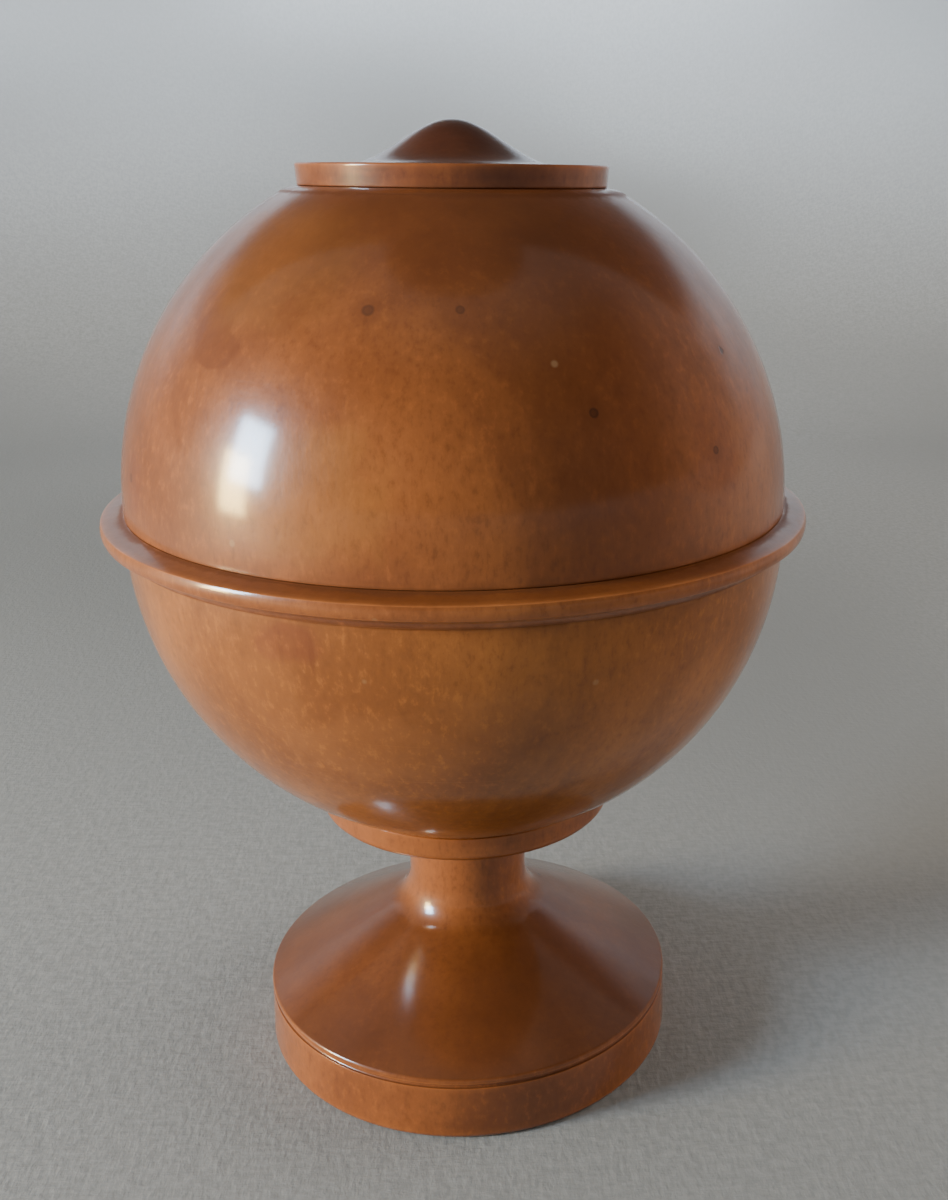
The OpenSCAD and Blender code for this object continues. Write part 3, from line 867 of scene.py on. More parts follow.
def pale_cloth(name):
    """Plain pale woven cloth for the floor and backdrop, with painted light where it rises into the
    wall and painted shade in soft fold shapes.
    """
    tones = bpy.context.scene.globe_tones
    material, w, shader, position = new_material(name)
    slubs = w.noise(w.vector("MULTIPLY", position, (330, 900, 330)), 1.0, 3.0, 0.6)
    cross = w.noise(w.vector("MULTIPLY", position, (900, 330, 330)), 1.0, 3.0, 0.6)
    weave = w.plus(w.times(slubs, 0.5), w.times(cross, 0.5))
    tilted = w.vector("MULTIPLY", w.vector("ADD", position, (0.35, 0.1, 0)), (2.6, 2.6, 5.2))
    fold_shade = w.noise(tilted, 1.0, 1.0, 0.4)
    height = w.add("ShaderNodeSeparateXYZ", {0: position}).outputs["Z"]
    # Painted light: the cloth blends into the paler, bluer wall tone as it rises.
    rise = w.mapped(height, 0.02, 0.45)
    paler = w.mix(rise, tuple(1.12 * v for v in tones.cloth), tones.wall)
    darker = w.mix(rise, tuple(0.88 * v for v in tones.cloth), tuple(0.95 * v for v in tones.wall))
    colour = w.mix(w.mapped(weave, 0.36, 0.64), darker, paler)
    # Painted shade: soft fold shapes that the smooth backdrop doesn't have, darkened towards a shaded
    # copy of its tones.
    shade = w.mix(rise, tuple(0.84 * v for v in tones.cloth), tuple(0.58 * v for v in tones.wall))
    colour = w.mix(w.mapped(fold_shade, 0.34, 0.62), colour, shade)
    colour = w.mix(w.mapped(height, 0.46, 0.66), colour, (0.07, 0.065, 0.06))
    w.tree.links.new(colour, shader.inputs["Base Color"])
    bump = w.add("ShaderNodeBump", {"Height": weave, "Strength": 0.5, "Distance": 0.0006})
    w.tree.links.new(bump.outputs[0], shader.inputs["Normal"])
    shader.inputs["Roughness"].default_value = 0.9
    return material


def dark_cloth(name):
    """The dark side of the room, which pales towards its edges."""
    material, w, shader, position = new_material(name)
    depth = w.add("ShaderNodeAttribute", attribute_name="depth").outputs["Fac"]
    uneven = w.mapped(w.noise(position, 3.0, 2.0), 0.3, 0.7)
    dark = w.mix(uneven, (0.018, 0.014, 0.011), (0.060, 0.046, 0.036))
    w.tree.links.new(w.mix(w.mapped(depth, 0.0, 1.0), (0.30, 0.29, 0.28), dark),
                     shader.inputs["Base Color"])
    shader.inputs["Roughness"].default_value = 0.95
    return material


def build_materials():
    """Every finish, made once."""
    tones = bpy.context.scene.globe_tones
    belt_low, belt_high = span("belt")
    shell_z, crown = span("dome")
    shell = reach("dome")
    bowl = reach("bowl")
    cap_low, cap_high = span("cap")
    cap = reach("cap")
    red = (0.16, 0.030, 0.012)
    pale = (0.46, 0.165, 0.045)
    gold = (0.40, 0.165, 0.030)
    dark = tones.globe_deep

    def on_dome(angle, rise, width, height):
        return lobe(angle, shell, shell_z, rise * MM, width * MM, height * MM)

    def on_bowl(angle, rise, width, height):
        return lobe(angle, bowl, belt_low, rise * MM, width * MM, height * MM)

    def on_shell(angle, height, size):
        return lobe(angle, shell, shell_z, height * MM - shell_z, size * MM, size * MM)

    leaf = (on_dome(-135.4, 31.0, 3.2, 2.4), on_dome(-137, 28, 3.4, 3.2),
            on_dome(-134, 25.6, 4.4, 2.2))
    bruises = (on_shell(-105.4, 127.6, 1.7), on_shell(-89.3, 127.8, 2.4),
               on_shell(-69.4, 116.3, 1.6), on_shell(-46.9, 110.1, 1.5))
    dents = (on_shell(-105.4, 127.6, 0.75), on_shell(-89.3, 127.8, 0.5),
             on_shell(-69.4, 116.3, 0.6), on_shell(-46.9, 110.1, 0.55),
             on_shell(-153.6, 104.1, 0.6))
    polished(
        "upper shell wood", tones.globe, tones.globe_deep, (0.034, 0.016, 0),
        seams=((shell_z, 0.0007), (crown - 0.0006, 0.0010)),
        stains=(
            (leaf, 0.22, 0.10, 0.6, dark),
            # Painted shade: a broad dark band on the front right of the upper shell and a dark patch
            # high on its front, where the light from the left falls away.
            ((on_dome(-68, 20, 10, 30), on_dome(-88, 42, 16, 9)), 0.6, 0.6, 0.6, dark),
            ((on_dome(-128, 36, 9, 8), on_dome(-112, 10, 8, 7)), 0.7, 0.6, 0.3, gold),
            (bruises, 0.5, 0.5, 0.42, dark),
            (dents, 0.4, 0.3, 0.75, tones.grime),
            ((on_dome(-152, 7, 3, 4),), 0.5, 0.4, 0.30, red),
            ((on_dome(-47, 14, 4, 8), on_dome(-20, 18, 8, 14)), 0.5, 0.5, 0.25, red),
            ((on_dome(75, 22, 10, 13), on_dome(88, 16, 6, 5)), 0.5, 0.4, 0.4, dark),
        ),
        patina_and_top_shade=0.9,
    )
    polished(
        "lower shell wood", tones.bowl, tones.bowl_deep, (0.030, -0.020, 0),
        seams=((belt_low - 0.25 * MM, 0.0008), (span("collar")[1], 0.0008)),
        stains=(
            ((on_bowl(-116, -3.4, 4.5, 2.6), on_bowl(-119, -4.4, 2.6, 1.8)), 0.7, 0.45, 0.5, red),
            ((on_bowl(-112, -5.2, 0.35, 4.2), on_bowl(-117, -4.6, 0.3, 3.2)), 0.3, 0.5, 0.55, dark),
            ((on_bowl(-103, -19, 12, 5), on_bowl(-84, -13, 8, 4)), 0.6, 0.5, 0.25, pale),
            ((on_bowl(-120, -12, 5, 7), on_bowl(-70, -22, 9, 4)), 0.7, 0.6, 0.22, pale),
            ((on_bowl(60, -14, 12, 9),), 0.6, 0.5, 0.35, red),
        ),
        deep_lines=0.9,
    )
    polished(
        "belt wood", tones.belt, tones.belt_deep, (0.040, 0.005, 0),
        seams=((belt_high, 0.0005), (belt_low, 0.0006)),
        stains=(
            ((lobe(-100, shell, belt_high, 0, 0.02, 0.0012),), 0.5, 0.5, 0.35, tones.belt_deep),
        ),
        wear=0.9, figure=0.25, patina_and_top_shade=0.75,
    )
    polished(
        "foot wood", tones.foot, tones.foot_deep, (0.012, 0.016, 0),
        stains=(
            ((lobe(-60, 0.024, 0.019, 0, 0.014, 0.006), lobe(-95, 0.028, 0.014, 0, 0.012, 0.004)),
             0.6, 0.5, 0.45, tones.foot_deep),
            ((lobe(150, 0.026, 0.016, 0, 0.012, 0.006),), 0.6, 0.5, 0.35, tones.foot_deep),
        ),
        wear=0.65, figure=0.3, patina_and_top_shade=0.85,
    )
    polished(
        "cap wood", tones.cap, tones.cap_deep, (0.010, -0.008, 0),
        seams=((cap_low, 0.0004),),
        stains=(
            ((lobe(-125, cap, cap_low, 0, 0.004, 0.0012),
              lobe(-118, cap, cap_low + 2.4 * MM, 0, 0.003, 0.0006)),
             0.6, 0.4, 0.55, tones.grime),
            # Painted shade: two dark patches along the front right of the cap's edge, where the light
            # from the left falls away.
            ((lobe(-72, cap, cap_low + 1 * MM, 0, 0.006, 0.0016),), 0.6, 0.4, 0.35, tones.cap_deep),
            ((lobe(-60, cap, cap_low + 1.5 * MM, 0, 0.008, 0.0030),), 0.6, 0.4, 0.55, tones.cap_deep),
            # Painted reflection: a dark patch over the top of the bell, standing for the dark room
            # that it mirrors.
            ((lobe(0, 0, cap_high, 0, 0.009, 0.0045),), 0.3, 0.8, 0.5, tones.cap_deep),
        ),
        wear=0.7, patina_and_top_shade=0.95,
    )
    bare_wood("inner wood")
    satin_brass("satin brass")
    waxed_leather("waxed leather")
    green_baize("green baize")
    pale_cloth("pale cloth")
    dark_cloth("dark cloth")


# ---------------------------------------------------------------- the pieces

def stem_outline(s):
    """Half outline of the foot, from the middle of its underside to the top of its tenon."""
    foot_r = reach("foot")
    top = span("collar")[0]
    rim_r = foot_r - s.rim_taper
    groove_z = s.rim_height - s.bead_height
    recess = reach("foot_baize") + s.baize_gap
    recess_z = span("foot_baize")[1]
    slope_r = rim_r - s.rim_bead
    cove_x = s.stem + s.stem_cove
    slope = s.foot_slope
    cove_z = s.rim_height + (slope_r - cove_x) * tan(slope) + s.stem_cove / cos(slope)
    groove = s.rim_groove
    bead_z = s.rim_height - s.rim_bead
    return (
        [(0, recess_z, 0), (recess, recess_z, 0.3 * MM), (recess, 0, 0.4 * MM), (foot_r, 0, 1.1 * MM),
         (rim_r, groove_z - groove, 0.12 * MM)]
        + arc((rim_r, groove_z), groove, -pi / 2, -3 * pi / 2, 10, trim=(1, 1))
        + [(rim_r, groove_z + groove, 0.1 * MM)]
        + arc((slope_r, bead_z), s.rim_bead, 0, pi / 2 - slope, 8, trim=(0, 0))
        + arc((cove_x, cove_z), s.stem_cove, -pi / 2 - slope, -pi, 20)
        + [(s.stem, top, 0.25 * MM), (s.tenon, top, 0.2 * MM), (s.tenon, span("foot")[1], 0.5 * MM),
           (0, span("foot")[1], 0)]
    )


class GLOBE_OT_foot(bpy.types.Operator):
    """Turn the foot, its stem and its tenon"""
    bl_idname = "globe.foot"
    bl_label = "Foot"

    def execute(self, context):
        corners = stem_outline(context.scene.globe_sizes)
        turned("turned_foot", corners, False, "base", "foot wood", "foot")
        return {"FINISHED"}


class GLOBE_OT_baize(bpy.types.Operator):
    """Cut the baize disc let into the foot"""
    bl_idname = "globe.baize"
    bl_label = "Baize"

    def execute(self, context):
        low, high = span("foot_baize")
        r = reach("foot_baize")
        corners = [(0, low, 0), (r, low, 0.3 * MM), (r, high, 0.2 * MM), (0, high, 0)]
        turned("baize_pad", corners, False, "base", "green baize", "foot_baize")
        return {"FINISHED"}


class GLOBE_OT_collar(bpy.types.Operator):
    """Turn the collar, hollowed to the globe that sits on it"""
    bl_idname = "globe.collar"
    bl_label = "Collar"

    def execute(self, context):
        s = context.scene.globe_sizes
        low, high = span("collar")
        r = reach("collar")
        seat = low + s.seat_rise
        centre, ball = bowl_ball(s)
        corners = [(s.tenon, low, 0.2 * MM), (r, low, 1.3 * MM), (r, high, 0.3 * MM)]
        corners += ball_arc(centre, ball, high, seat, 6)
        corners += [(s.seat, seat, 0.1 * MM), (s.tenon, seat, 0.2 * MM)]
        turned("collar_disc", corners, True, "base", "foot wood", "collar")
        return {"FINISHED"}


def bowl_ball(s):
    """Centre height and radius of the lower shell's ball."""
    seat_z = span("bowl")[0]
    ball = reach("bowl")
    return seat_z + sqrt(ball ** 2 - s.seat ** 2), ball


class GLOBE_OT_lower_shell(bpy.types.Operator):
    """Turn the lower shell with its neck, mouth, ledge and the recess for the lugs"""
    bl_idname = "globe.lower_shell"
    bl_label = "Lower shell"

    def execute(self, context):
        s = context.scene.globe_sizes
        low, high = span("bowl")
        centre, ball = bowl_ball(s)
        rim = span("belt")[0] - s.turn_gap + s.seam_fit
        washer_low = span("belt_washer")[0]
        washer_r = reach("belt_washer")
        race_low = span("race_ring")[0]
        step_r = reach("race_ring") - s.race_width
        neck_r = step_r + s.neck_step
        floor = span("tenon_nut")[0]
        inner = ball - s.shell_wall
        ledge_z = span("dome")[0] - s.spigot_drop - s.rest_gap
        ledge_low = ledge_z - s.ledge_thickness
        edge = 0.2 * MM
        corners = [(s.tenon, low, edge), (s.seat, low, 0.3 * MM)]
        corners += ball_arc(centre, ball, low, rim, 72)
        corners += [
            (ball_radius(centre, ball, rim), rim, 0.12 * MM),
            (washer_r, rim, 0.1 * MM), (washer_r, washer_low, 0.1 * MM),
            (neck_r, washer_low, 0.1 * MM), (neck_r, race_low, 0.1 * MM),
            (step_r, race_low, 0.1 * MM), (step_r, high, edge),
            (s.recess, high, edge), (s.recess, high - s.recess_depth, edge),
            (s.mouth, high - s.recess_depth, edge), (s.mouth, ledge_z, edge),
            (s.ledge, ledge_z, 0.4 * MM), (s.ledge, ledge_low, 0.4 * MM),
            (ball_radius(centre, inner, ledge_low), ledge_low, 0.3 * MM),
        ]
        corners += ball_arc(centre, inner, ledge_low, floor, 40)
        corners += [(ball_radius(centre, inner, floor), floor, 0.6 * MM), (s.tenon, floor, edge)]
        turned("lower_shell", corners, True, "base", "lower shell wood", "bowl")
        return {"FINISHED"}


class GLOBE_OT_tenon_nut(bpy.types.Operator):
    """Turn the domed button glued over the foot's tenon"""
    bl_idname = "globe.tenon_nut"
    bl_label = "Tenon nut"

    def execute(self, context):
        s = context.scene.globe_sizes
        low, high = span("tenon_nut")
        r = reach("tenon_nut")
        ball = r + high - low
        centre = low - r
        shoulder = centre + sqrt(ball ** 2 - r ** 2)
        pocket = span("foot")[1]
        corners = [(0, pocket, 0), (s.tenon, pocket, 0.2 * MM), (s.tenon, low, 0.2 * MM),
                   (r, low, 0.3 * MM), (r, shoulder, 0.5 * MM)]
        corners += ball_arc(centre, ball, shoulder, high, 16)
        corners += [(0, high, 0)]
        turned("tenon_button", corners, False, "base", "inner wood", "tenon_nut")
        return {"FINISHED"}


class GLOBE_OT_rings(bpy.types.Operator):
    """Make the flat rings: brass race, leather washers and the belt's keeper"""
    bl_idname = "globe.rings"
    bl_label = "Rings"

    def execute(self, context):
        s = context.scene.globe_sizes
        race = reach("race_ring")
        bore = race - s.race_width
        neck = bore + s.neck_step
        washer("race", "race_ring", "base", "satin brass", bore, 0.15 * MM)
        washer("drag_washer", "belt_washer", "base", "waxed leather", neck, 0.25 * MM)
        washer("keeper_ring", "belt_keeper", "belt", "inner wood", neck + s.turn_gap, 0.15 * MM)
        washer("cap_washer", "pivot_washer", "cap_plug", "waxed leather",
               s.pivot + s.pivot_gap, 0.2 * MM)
        return {"FINISHED"}


class GLOBE_OT_belt(bpy.types.Operator):
    """Turn the belt and cut its three gates"""
    bl_idname = "globe.belt"
    bl_label = "Belt"

    def execute(self, context):
        s = context.scene.globe_sizes
        marks = context.scene.globe_marks
        low, high = span("belt")
        r = reach("belt")
        shell = reach("dome")
        keeper_high = span("belt_keeper")[1]
        keeper_r = reach("belt_keeper")
        web_low = high - s.web
        inner_r = reach("race_ring") + s.turn_gap
        face = (r - s.face_radius, low + s.face_height)
        cove = (r - s.cove_inset, face[1] - s.cove_under - s.cove_radius)
        foot_z = low - s.seam_fit
        top_z = high + s.seam_fit
        swell = shell - s.seam_width
        cove_start = acos((foot_z - cove[1]) / s.cove_radius)
        cove_foot = (cove[0] - s.cove_radius * sin(cove_start), foot_z)
        meet = meeting(face, s.face_radius, cove, s.cove_radius)
        slope = (s.top_fall + s.seam_fit) / (r - shell)
        top_meet = facet_meets(face, s.face_radius, (shell, top_z), slope)
        edge = 0.15 * MM
        corners = [(s.web_bore, web_low, edge), (inner_r, web_low, edge), (inner_r, keeper_high, edge),
                   (keeper_r, keeper_high, edge), (keeper_r, foot_z, edge), (*cove_foot, 0.12 * MM)]
        corners += arc(cove, s.cove_radius, angle_at(cove, cove_foot), angle_at(cove, meet), 14,
                       trim=(1, 1))
        corners += [(*meet, 0.12 * MM)]
        corners += arc(face, s.face_radius, angle_at(face, meet), angle_at(face, top_meet), 14,
                       trim=(1, 1))
        corners += [(*top_meet, 0.35 * MM), (shell, top_z, 0.2 * MM),
                    (swell + s.seam_ramp, top_z, 0.1 * MM), (swell, high, 0.1 * MM),
                    (s.web_bore, high, 0.25 * MM)]
        belt = turned("belt_ring", corners, True, "belt", "belt wood", "belt")
        carve(belt, [
            notch(s.web_bore - OVERCUT, s.gate_reach, web_low - OVERCUT, high + OVERCUT,
                  s.gate_width, angle)
            for angle in (marks.gate_one, marks.gate_two, marks.gate_three)
        ])
        return {"FINISHED"}


def angle_at(centre, point):
    """The angle of a point round a centre in an outline."""
    return atan2(point[1] - centre[1], point[0] - centre[0])


def meeting(first, first_r, second, second_r):
    """The outer of the two points at which two circles of an outline meet."""
    a = Vector(first)
    b = Vector(second)
    gap = (b - a).length
    along = (first_r ** 2 - second_r ** 2 + gap ** 2) / (2 * gap)
    side = sqrt(first_r ** 2 - along ** 2)
    way = (b - a) / gap
    middle = a + way * along
    across = Vector((-way.y, way.x)) * side
    return max((middle + across, middle - across), key=lambda point: point.x)


def facet_meets(centre, radius, start, slope):
    """The outer point at which a falling facet meets a circle."""
    dx = start[0] - centre[0]
    dz = start[1] - centre[1]
    a = 1 + slope ** 2
    b = dx - slope * dz
    c = dx ** 2 + dz ** 2 - radius ** 2
    run = (-b + sqrt(b ** 2 - a * c)) / a
    return (start[0] + run, start[1] - slope * run)


class GLOBE_OT_upper_shell(bpy.types.Operator):
    """Turn the upper shell with its crown and the seat for the well's cup"""
    bl_idname = "globe.upper_shell"
    bl_label = "Upper shell"

    def execute(self, context):
        s = context.scene.globe_sizes
        low, crown = span("dome")
        ball = reach("dome")
        inner = ball - s.shell_wall
        hoop_r = reach("dome_skirt")
        hoop_high = span("dome_skirt")[1]
        rim_r = reach("well_cup")
        hole_top = low + sqrt(inner ** 2 - s.cup ** 2)
        crown_low = crown + s.seam_fit
        swell = ball - s.seam_width
        crown_swell = reach("cap") - s.cap_seam
        corners = [(hoop_r, low, 0.2 * MM), (swell - s.seam_ramp, low, 0.1 * MM),
                   (swell, low - s.seam_fit, 0.1 * MM), (ball, low - s.seam_fit, 0.12 * MM)]
        corners += ball_arc(low, ball, low, crown_low, 72)[:-2]
        corners += [
            (ball_radius(low, ball, crown_low), crown_low, s.crown_round),
            (crown_swell, crown_low, 0.1 * MM), (crown_swell - s.seam_ramp, crown, 0.1 * MM),
            (rim_r, crown, 0.2 * MM), (rim_r, crown - s.cup_rim, 0.1 * MM),
            (s.cup, crown - s.cup_rim, 0.1 * MM), (s.cup, hole_top, 0.3 * MM),
        ]
        corners += ball_arc(low, inner, hole_top, hoop_high, 40)
        corners += [(ball_radius(low, inner, hoop_high), hoop_high, 0.2 * MM),
                    (hoop_r, hoop_high, 0.1 * MM)]
        turned("upper_shell", corners, True, "dome", "upper shell wood", "dome")
        return {"FINISHED"}


class GLOBE_OT_spigot(bpy.types.Operator):
    """Turn the spigot ring under the upper shell and cut its index slot"""
    bl_idname = "globe.spigot"
    bl_label = "Spigot"

    def execute(self, context):
        s = context.scene.globe_sizes
        marks = context.scene.globe_marks
        low, high = span("dome_skirt")
        shell_low = span("dome")[0]
        hoop_r = reach("dome_skirt")
        bore = s.spigot - s.spigot_wall
        corners = [(bore, low, 0.4 * MM), (s.spigot, low, 0.5 * MM), (s.spigot, shell_low, 0.15 * MM),
                   (hoop_r, shell_low, 0.2 * MM), (hoop_r, high, 0.4 * MM), (bore, high, 0.4 * MM)]
        spigot = turned("spigot_ring", corners, True, "dome", "inner wood", "dome_skirt")
        slot_top = pin_height("index_pin") + s.index_slot_width / 2
        carve(spigot, [notch(s.index_slot, s.spigot + OVERCUT, low - OVERCUT, slot_top,
                             s.index_slot_width, marks.index)])
        return {"FINISHED"}


class GLOBE_OT_pins(bpy.types.Operator):
    """Make the brass pins: three lugs, the index pin and the plug's key"""
    bl_idname = "globe.pins"
    bl_label = "Pins"

    def execute(self, context):
        s = context.scene.globe_sizes
        marks = context.scene.globe_marks
        lug_angles = (marks.gate_one, marks.gate_two, marks.gate_three)
        pins("lugs", "lug_pins", "dome", s.spigot - s.spigot_wall + s.lug_root,
             s.spigot + s.lug_stand, s.pin, lug_angles)
        pins("index", "index_pin", "base", s.mouth - s.index_stand, s.mouth + s.index_root,
             s.pin, (marks.index,))
        pins("key", "plug_key", "cap_plug", s.lip, s.well + s.key_stand, s.key_pin, (marks.key,))
        return {"FINISHED"}


class GLOBE_OT_well(bpy.types.Operator):
    """Turn the well's cup and cut the notch in its lip and the groove for the key"""
    bl_idname = "globe.well"
    bl_label = "Well"

    def execute(self, context):
        s = context.scene.globe_sizes
        marks = context.scene.globe_marks
        low, crown = span("well_cup")
        rim_r = reach("well_cup")
        lip_high = crown - s.lip_depth
        lip_low = lip_high - s.lip_thickness
        floor = crown - s.well_depth
        edge = 0.25 * MM
        corners = [
            (0, low, 0), (s.cup, low, 0.5 * MM), (s.cup, crown - s.cup_rim, 0.1 * MM),
            (rim_r, crown - s.cup_rim, 0.1 * MM), (rim_r, crown, 0.2 * MM), (s.well, crown, edge),
            (s.well, lip_high, edge), (s.lip, lip_high, edge), (s.lip, lip_low, edge),
            (s.well, lip_low, edge), (s.well, floor, 1.2 * MM), (0, floor, 0),
        ]
        cup = turned("well", corners, False, "dome", "inner wood", "well_cup")
        carve(cup, [
            notch(0, s.tongue_notch, lip_low - OVERCUT, lip_high + OVERCUT / 2,
                  s.tongue_width + s.tongue_space, marks.tongue),
            notch(s.lip, s.well + s.key_groove, lip_high + OVERCUT / 1000, crown + OVERCUT,
                  s.key_groove_width, marks.key),
        ])
        return {"FINISHED"}


class GLOBE_OT_plug(bpy.types.Operator):
    """Turn the plug that closes the well"""
    bl_idname = "globe.plug"
    bl_label = "Plug"

    def execute(self, context):
        s = context.scene.globe_sizes
        low, high = span("cap_plug")
        flange = reach("cap_plug")
        spigot = s.lip - s.plug_gap
        step = high - s.lip_depth + s.rest_gap
        pad_low = span("pivot_washer")[0]
        pad_r = reach("pivot_washer")
        bore = s.pivot + s.pivot_gap
        edge = 0.25 * MM
        corners = [
            (bore, low, edge), (spigot, low, 0.6 * MM), (spigot, step, 0.15 * MM),
            (flange, step, edge), (flange, high, edge), (pad_r, high, 0.15 * MM),
            (pad_r, pad_low, 0.1 * MM), (bore, pad_low, 0.15 * MM),
        ]
        turned("plug", corners, True, "cap_plug", "inner wood", "cap_plug")
        return {"FINISHED"}


class GLOBE_OT_cap(bpy.types.Operator):
    """Turn the cap: a flat disc with a bell-shaped boss"""
    bl_idname = "globe.cap"
    bl_label = "Cap"

    def execute(self, context):
        s = context.scene.globe_sizes
        low, tip = span("cap")
        r = reach("cap")
        top = low + s.cap_thickness
        pocket = low + s.pivot_set
        swell = r - s.cap_seam
        steps = 40
        corners = [
            (0, pocket, 0), (s.pivot, pocket, 0.1 * MM), (s.pivot, low, 0.2 * MM),
            (swell - s.seam_ramp, low, 0.05 * MM), (swell, low - s.seam_fit, 0.05 * MM),
            (r - s.cap_undercut, low - s.seam_fit, 0.15 * MM), (r, top, 0.3 * MM),
        ]
        for k in range(steps + 1):
            share = k / steps
            corners.append((s.bell * (1 - share), top + (tip - top) * (1 - cos(pi * share)) / 2, 0))
        turned("cap_disc", corners, False, "cap", "cap wood", "cap")
        return {"FINISHED"}


class GLOBE_OT_tongue(bpy.types.Operator):
    """Make the cap's brass pivot, its tongue and the screw that holds it"""
    bl_idname = "globe.tongue"
    bl_label = "Tongue"

    def execute(self, context):
        s = context.scene.globe_sizes
        marks = context.scene.globe_marks
        low, high = span("cap_pivot")
        shoulder = span("cap_tongue")[1]
        edge = 0.15 * MM
        corners = [(0, low, 0), (s.pivot_end, low, edge), (s.pivot_end, shoulder, 0.05 * MM),
                   (s.pivot, shoulder, edge), (s.pivot, high, edge), (0, high, 0)]
        turned("pivot", corners, False, "cap", "satin brass", "cap_pivot")
        self.tongue(s, marks)
        self.screw(s)
        return {"FINISHED"}

    def tongue(self, s, marks):
        """A flat tongue with a round hub, a round end and broken edges."""
        low, high = span("cap_tongue")
        far = s.tongue_reach
        half = s.tongue_width / 2
        start = asin(half / s.tongue_hub)
        end = asin(half / far)
        steps = 30
        outline = [(s.tongue_hub, start + (2 * pi - 2 * start) * k / steps) for k in range(steps + 1)]
        outline += [(far, -end + 2 * end * k / 8) for k in range(9)]
        work = bmesh.new()
        ring = [work.verts.new((r * cos(a + marks.tongue), r * sin(a + marks.tongue), low))
                for r, a in outline]
        plate = work.faces.new(ring)
        risen = bmesh.ops.extrude_face_region(work, geom=[plate])
        raised = [v for v in risen["geom"] if isinstance(v, bmesh.types.BMVert)]
        bmesh.ops.translate(work, verts=raised, vec=(0, 0, high - low))
        rims = [e for e in work.edges if abs((e.verts[0].co - e.verts[1].co).z) < 1e-7]
        bmesh.ops.bevel(work, geom=rims, offset=0.2 * MM, segments=3, affect="EDGES", profile=0.5)
        piece = finished("tongue", work, "cap", "satin brass", "cap_tongue")
        piece.data.set_sharp_from_angle(angle=SHARP_CUT)

    def screw(self, s):
        """A slotted screw with a low domed head."""
        low, high = span("tongue_screw")
        head = reach("tongue_screw")
        seat = span("cap_tongue")[0]
        corners = [(0, low, 0), (head, low + 0.15 * MM, 0.35 * MM), (head, seat, 0.1 * MM),
                   (s.screw, seat, 0.1 * MM), (s.screw, high, 0.2 * MM), (0, high, 0)]
        screw = turned("screw", corners, False, "cap", "satin brass", "tongue_screw")
        slot_floor = (low + seat) / 2
        carve(screw, [notch(-head - OVERCUT, head + OVERCUT, low - OVERCUT, slot_floor,
                            s.screw_slot, 0)])


# ---------------------------------------------------------------- the stage

def staged(name, work, finish):
    """Turns a bmesh into a stage object whose faces look inwards."""
    for face in work.faces:
        face.smooth = True
    mesh = bpy.data.meshes.new(name)
    work.to_mesh(mesh)
    work.free()
    mesh.materials.append(bpy.data.materials[finish])
    item = bpy.data.objects.new(name, mesh)
    bpy.context.scene.collection.objects.link(item)
    return item


def backdrop(stage):
    """A round floor that sweeps up into a vaulted wall on every side."""
    sweep = 0.4 * stage.room
    corners = arc((0, sweep), stage.room, pi / 2, 0, 40, trim=(0, 1))
    corners += arc((stage.room - sweep, sweep), sweep, 0, -pi / 2, 24)
    corners += [(0, 0, 0)]
    corners[0] = (0, sweep + stage.room, 0)
    work = bmesh.new()
    turn(work, [(Vector(c[:2]), 0) for c in corners], False, 128)
    return staged("floor", work, "pale cloth")


def dark_room(stage, middle):
    """The dark side of the room in front of the globe, for the polish to mirror."""
    work = bmesh.new()
    layer = work.verts.layers.float.new("depth")
    across, up = 48, 20
    radius = 0.96 * stage.room
    flatter = 0.86
    side_fade, top_fade = 5, 2.4
    lowest = radians(2)
    rows = []
    for j in range(up + 1):
        rise = lowest + (stage.dark_top - lowest) * j / up
        out = radius * cos(rise)
        height = middle + flatter * radius * sin(rise)
        row = []
        for i in range(across + 1):
            angle = stage.dark_from + (stage.dark_to - stage.dark_from) * i / across
            vertex = work.verts.new((out * sin(angle), -out * cos(angle), height))
            side = side_fade * min(i / across, 1 - i / across)
            vertex[layer] = min(1, side, top_fade * (1 - j / up))
            row.append(vertex)
        rows.append(row)
    for lower, upper in zip(rows, rows[1:]):
        for i in range(across):
            work.faces.new((lower[i], lower[i + 1], upper[i + 1], upper[i]))
    room = staged("dark_room", work, "dark cloth")
    room.visible_camera = False
    room.visible_shadow = False
    room.visible_diffuse = False
    return room


def softbox(name, place, aim, size, watts, colour, mirrored=False, spread=180):
    """A soft light that faces a point; the camera never sees it, and the polish may."""
    data = bpy.data.lights.new(name, "AREA")
    data.shape = "RECTANGLE"
    data.size = size[0]
    data.size_y = size[1]
    data.energy = watts
    data.color = colour
    data.spread = radians(spread)
    light = bpy.data.objects.new(name, data)
    light.location = place
    light.rotation_euler = (Vector(aim) - Vector(place)).to_track_quat("-Z", "Y").to_euler()
    light.visible_camera = False
    light.visible_glossy = mirrored
    bpy.context.scene.collection.objects.link(light)
    return light


def toward(azimuth, elevation, distance, height):
    """A place seen from the globe: azimuth in degrees from the front, to the right."""
    a = radians(azimuth)
    e = radians(elevation)
    return (distance * cos(e) * sin(a), -distance * cos(e) * cos(a), height + distance * sin(e))


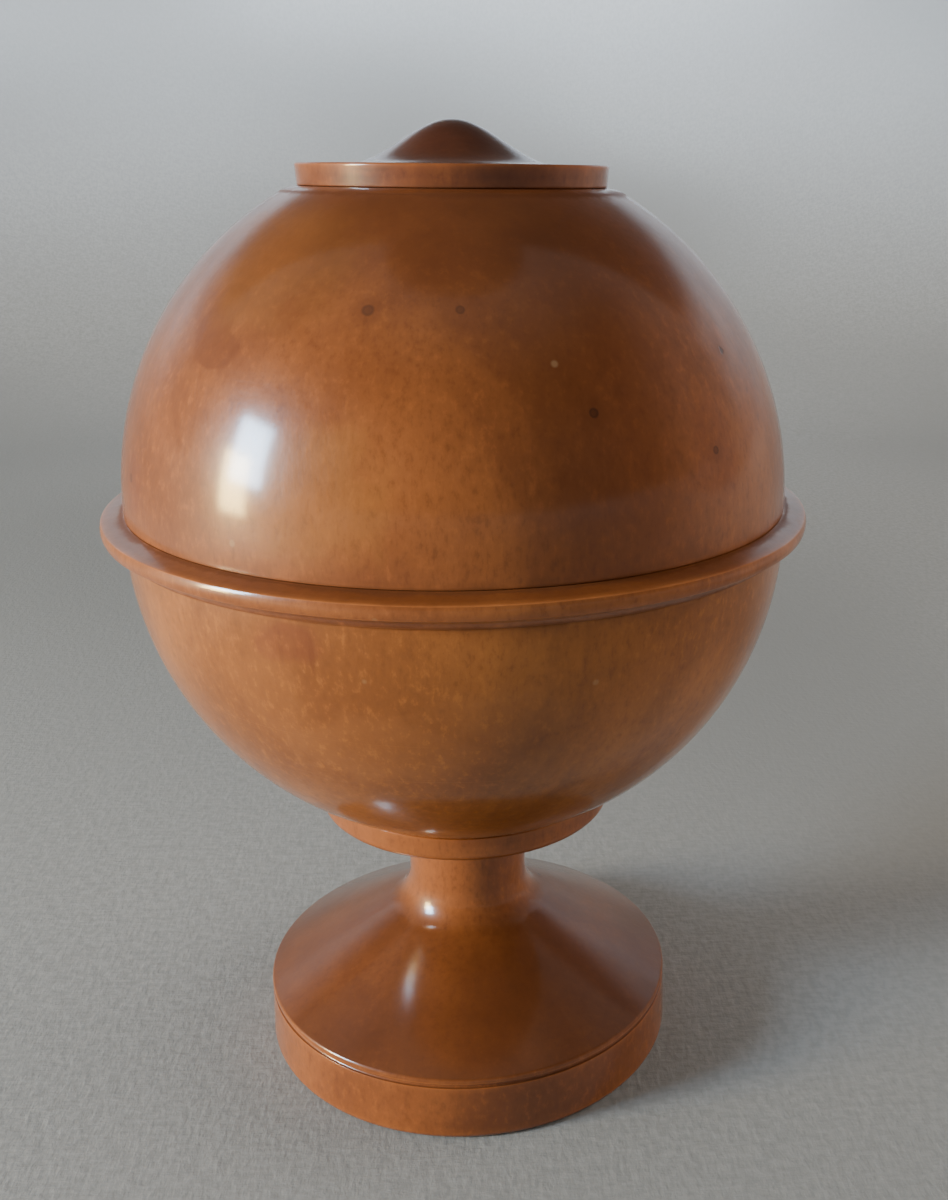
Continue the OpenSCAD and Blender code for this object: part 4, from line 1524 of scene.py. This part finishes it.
class GLOBE_OT_stage(bpy.types.Operator):
    """Set the floor, the lights and the camera"""
    bl_idname = "globe.stage"
    bl_label = "Stage"

    def execute(self, context):
        stage = context.scene.globe_stage
        backdrop(stage)
        middle = span("belt")[0]
        dark_room(stage, middle)
        aim = (0, 0, middle)
        softbox("window", toward(-71, 15, 0.75, middle), aim, (0.16, 0.21), stage.window_power,
                (0.50, 0.75, 1.0), mirrored=True)
        softbox("low pane", toward(-75, 6.5, 0.75, middle), aim, (0.13, 0.19),
                0.7 * stage.window_power, (1.0, 0.70, 0.25), mirrored=True)
        softbox("left fill", toward(-78, 9, 0.7, middle), aim, (0.45, 0.45), stage.fill_power,
                (1.0, 0.97, 0.93))
        softbox("ceiling", (-0.15, 0.1, 1.0), aim, (0.8, 0.8), stage.ceiling_power,
                (0.97, 0.98, 1.0))
        softbox("right fill", toward(98, 14, 0.75, middle), aim, (0.6, 0.6), stage.right_power,
                (1.0, 0.93, 0.86))
        softbox("wall wash", (0, 0.25, 0.75), (0, 0.9, 0.35), (0.9, 0.3), stage.wall_power,
                (0.88, 0.94, 1.0), spread=110)
        world = bpy.data.worlds.new("room")
        world.use_nodes = True
        world.node_tree.nodes["Background"].inputs["Color"].default_value = (0.93, 0.96, 1.0, 1.0)
        world.node_tree.nodes["Background"].inputs["Strength"].default_value = stage.world
        context.scene.world = world
        self.camera(context, stage)
        return {"FINISHED"}

    def camera(self, context, stage):
        tilt = stage.camera_tilt
        yaw = stage.camera_turn
        forward = Vector((sin(yaw) * cos(tilt), cos(yaw) * cos(tilt), -sin(tilt)))
        level = Vector((cos(yaw), -sin(yaw), 0))
        upward = level.cross(forward)
        across = cos(stage.camera_roll) * level + sin(stage.camera_roll) * upward
        upward = across.cross(forward)
        turn_in = Matrix((across, upward, -forward)).transposed()
        data = bpy.data.cameras.new("camera")
        data.sensor_fit = "VERTICAL"
        data.sensor_height = 36
        data.sensor_width = 36
        data.lens = stage.lens
        data.shift_x = stage.shift_across
        data.shift_y = stage.shift_up
        data.clip_start = 0.01
        data.dof.use_dof = False
        camera = bpy.data.objects.new("camera", data)
        camera.matrix_world = Matrix.Translation((0, -stage.camera_back, stage.camera_height)) @ (
            turn_in.to_4x4()
        )
        context.scene.collection.objects.link(camera)
        context.scene.camera = camera


OPERATORS = (
    GLOBE_OT_foot, GLOBE_OT_baize, GLOBE_OT_collar, GLOBE_OT_lower_shell, GLOBE_OT_tenon_nut,
    GLOBE_OT_rings, GLOBE_OT_belt, GLOBE_OT_upper_shell, GLOBE_OT_spigot, GLOBE_OT_pins,
    GLOBE_OT_well, GLOBE_OT_plug, GLOBE_OT_cap, GLOBE_OT_tongue, GLOBE_OT_stage,
)


class GLOBE_PT_pieces(bpy.types.Panel):
    """The globe box's pieces, in the order in which they are made"""
    bl_idname = "GLOBE_PT_pieces"
    bl_label = "Globe Box"
    bl_space_type = "VIEW_3D"
    bl_region_type = "UI"
    bl_category = "Globe Box"

    def draw(self, context):
        for operator in OPERATORS:
            self.layout.operator(operator.bl_idname)


def register():
    for title, properties in GROUPS:
        bpy.utils.register_class(properties)
        setattr(bpy.types.Scene, title, PointerProperty(type=properties))
    for operator in OPERATORS:
        bpy.utils.register_class(operator)
    bpy.utils.register_class(GLOBE_PT_pieces)


def unregister():
    bpy.utils.unregister_class(GLOBE_PT_pieces)
    for operator in reversed(OPERATORS):
        bpy.utils.unregister_class(operator)
    for title, properties in reversed(GROUPS):
        delattr(bpy.types.Scene, title)
        bpy.utils.unregister_class(properties)


def main():
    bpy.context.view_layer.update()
    register()
    build_groups()
    build_materials()
    for operator in OPERATORS:
        getattr(bpy.ops.globe, operator.bl_idname.split(".")[1])()


if __name__ == "__main__":
    main()
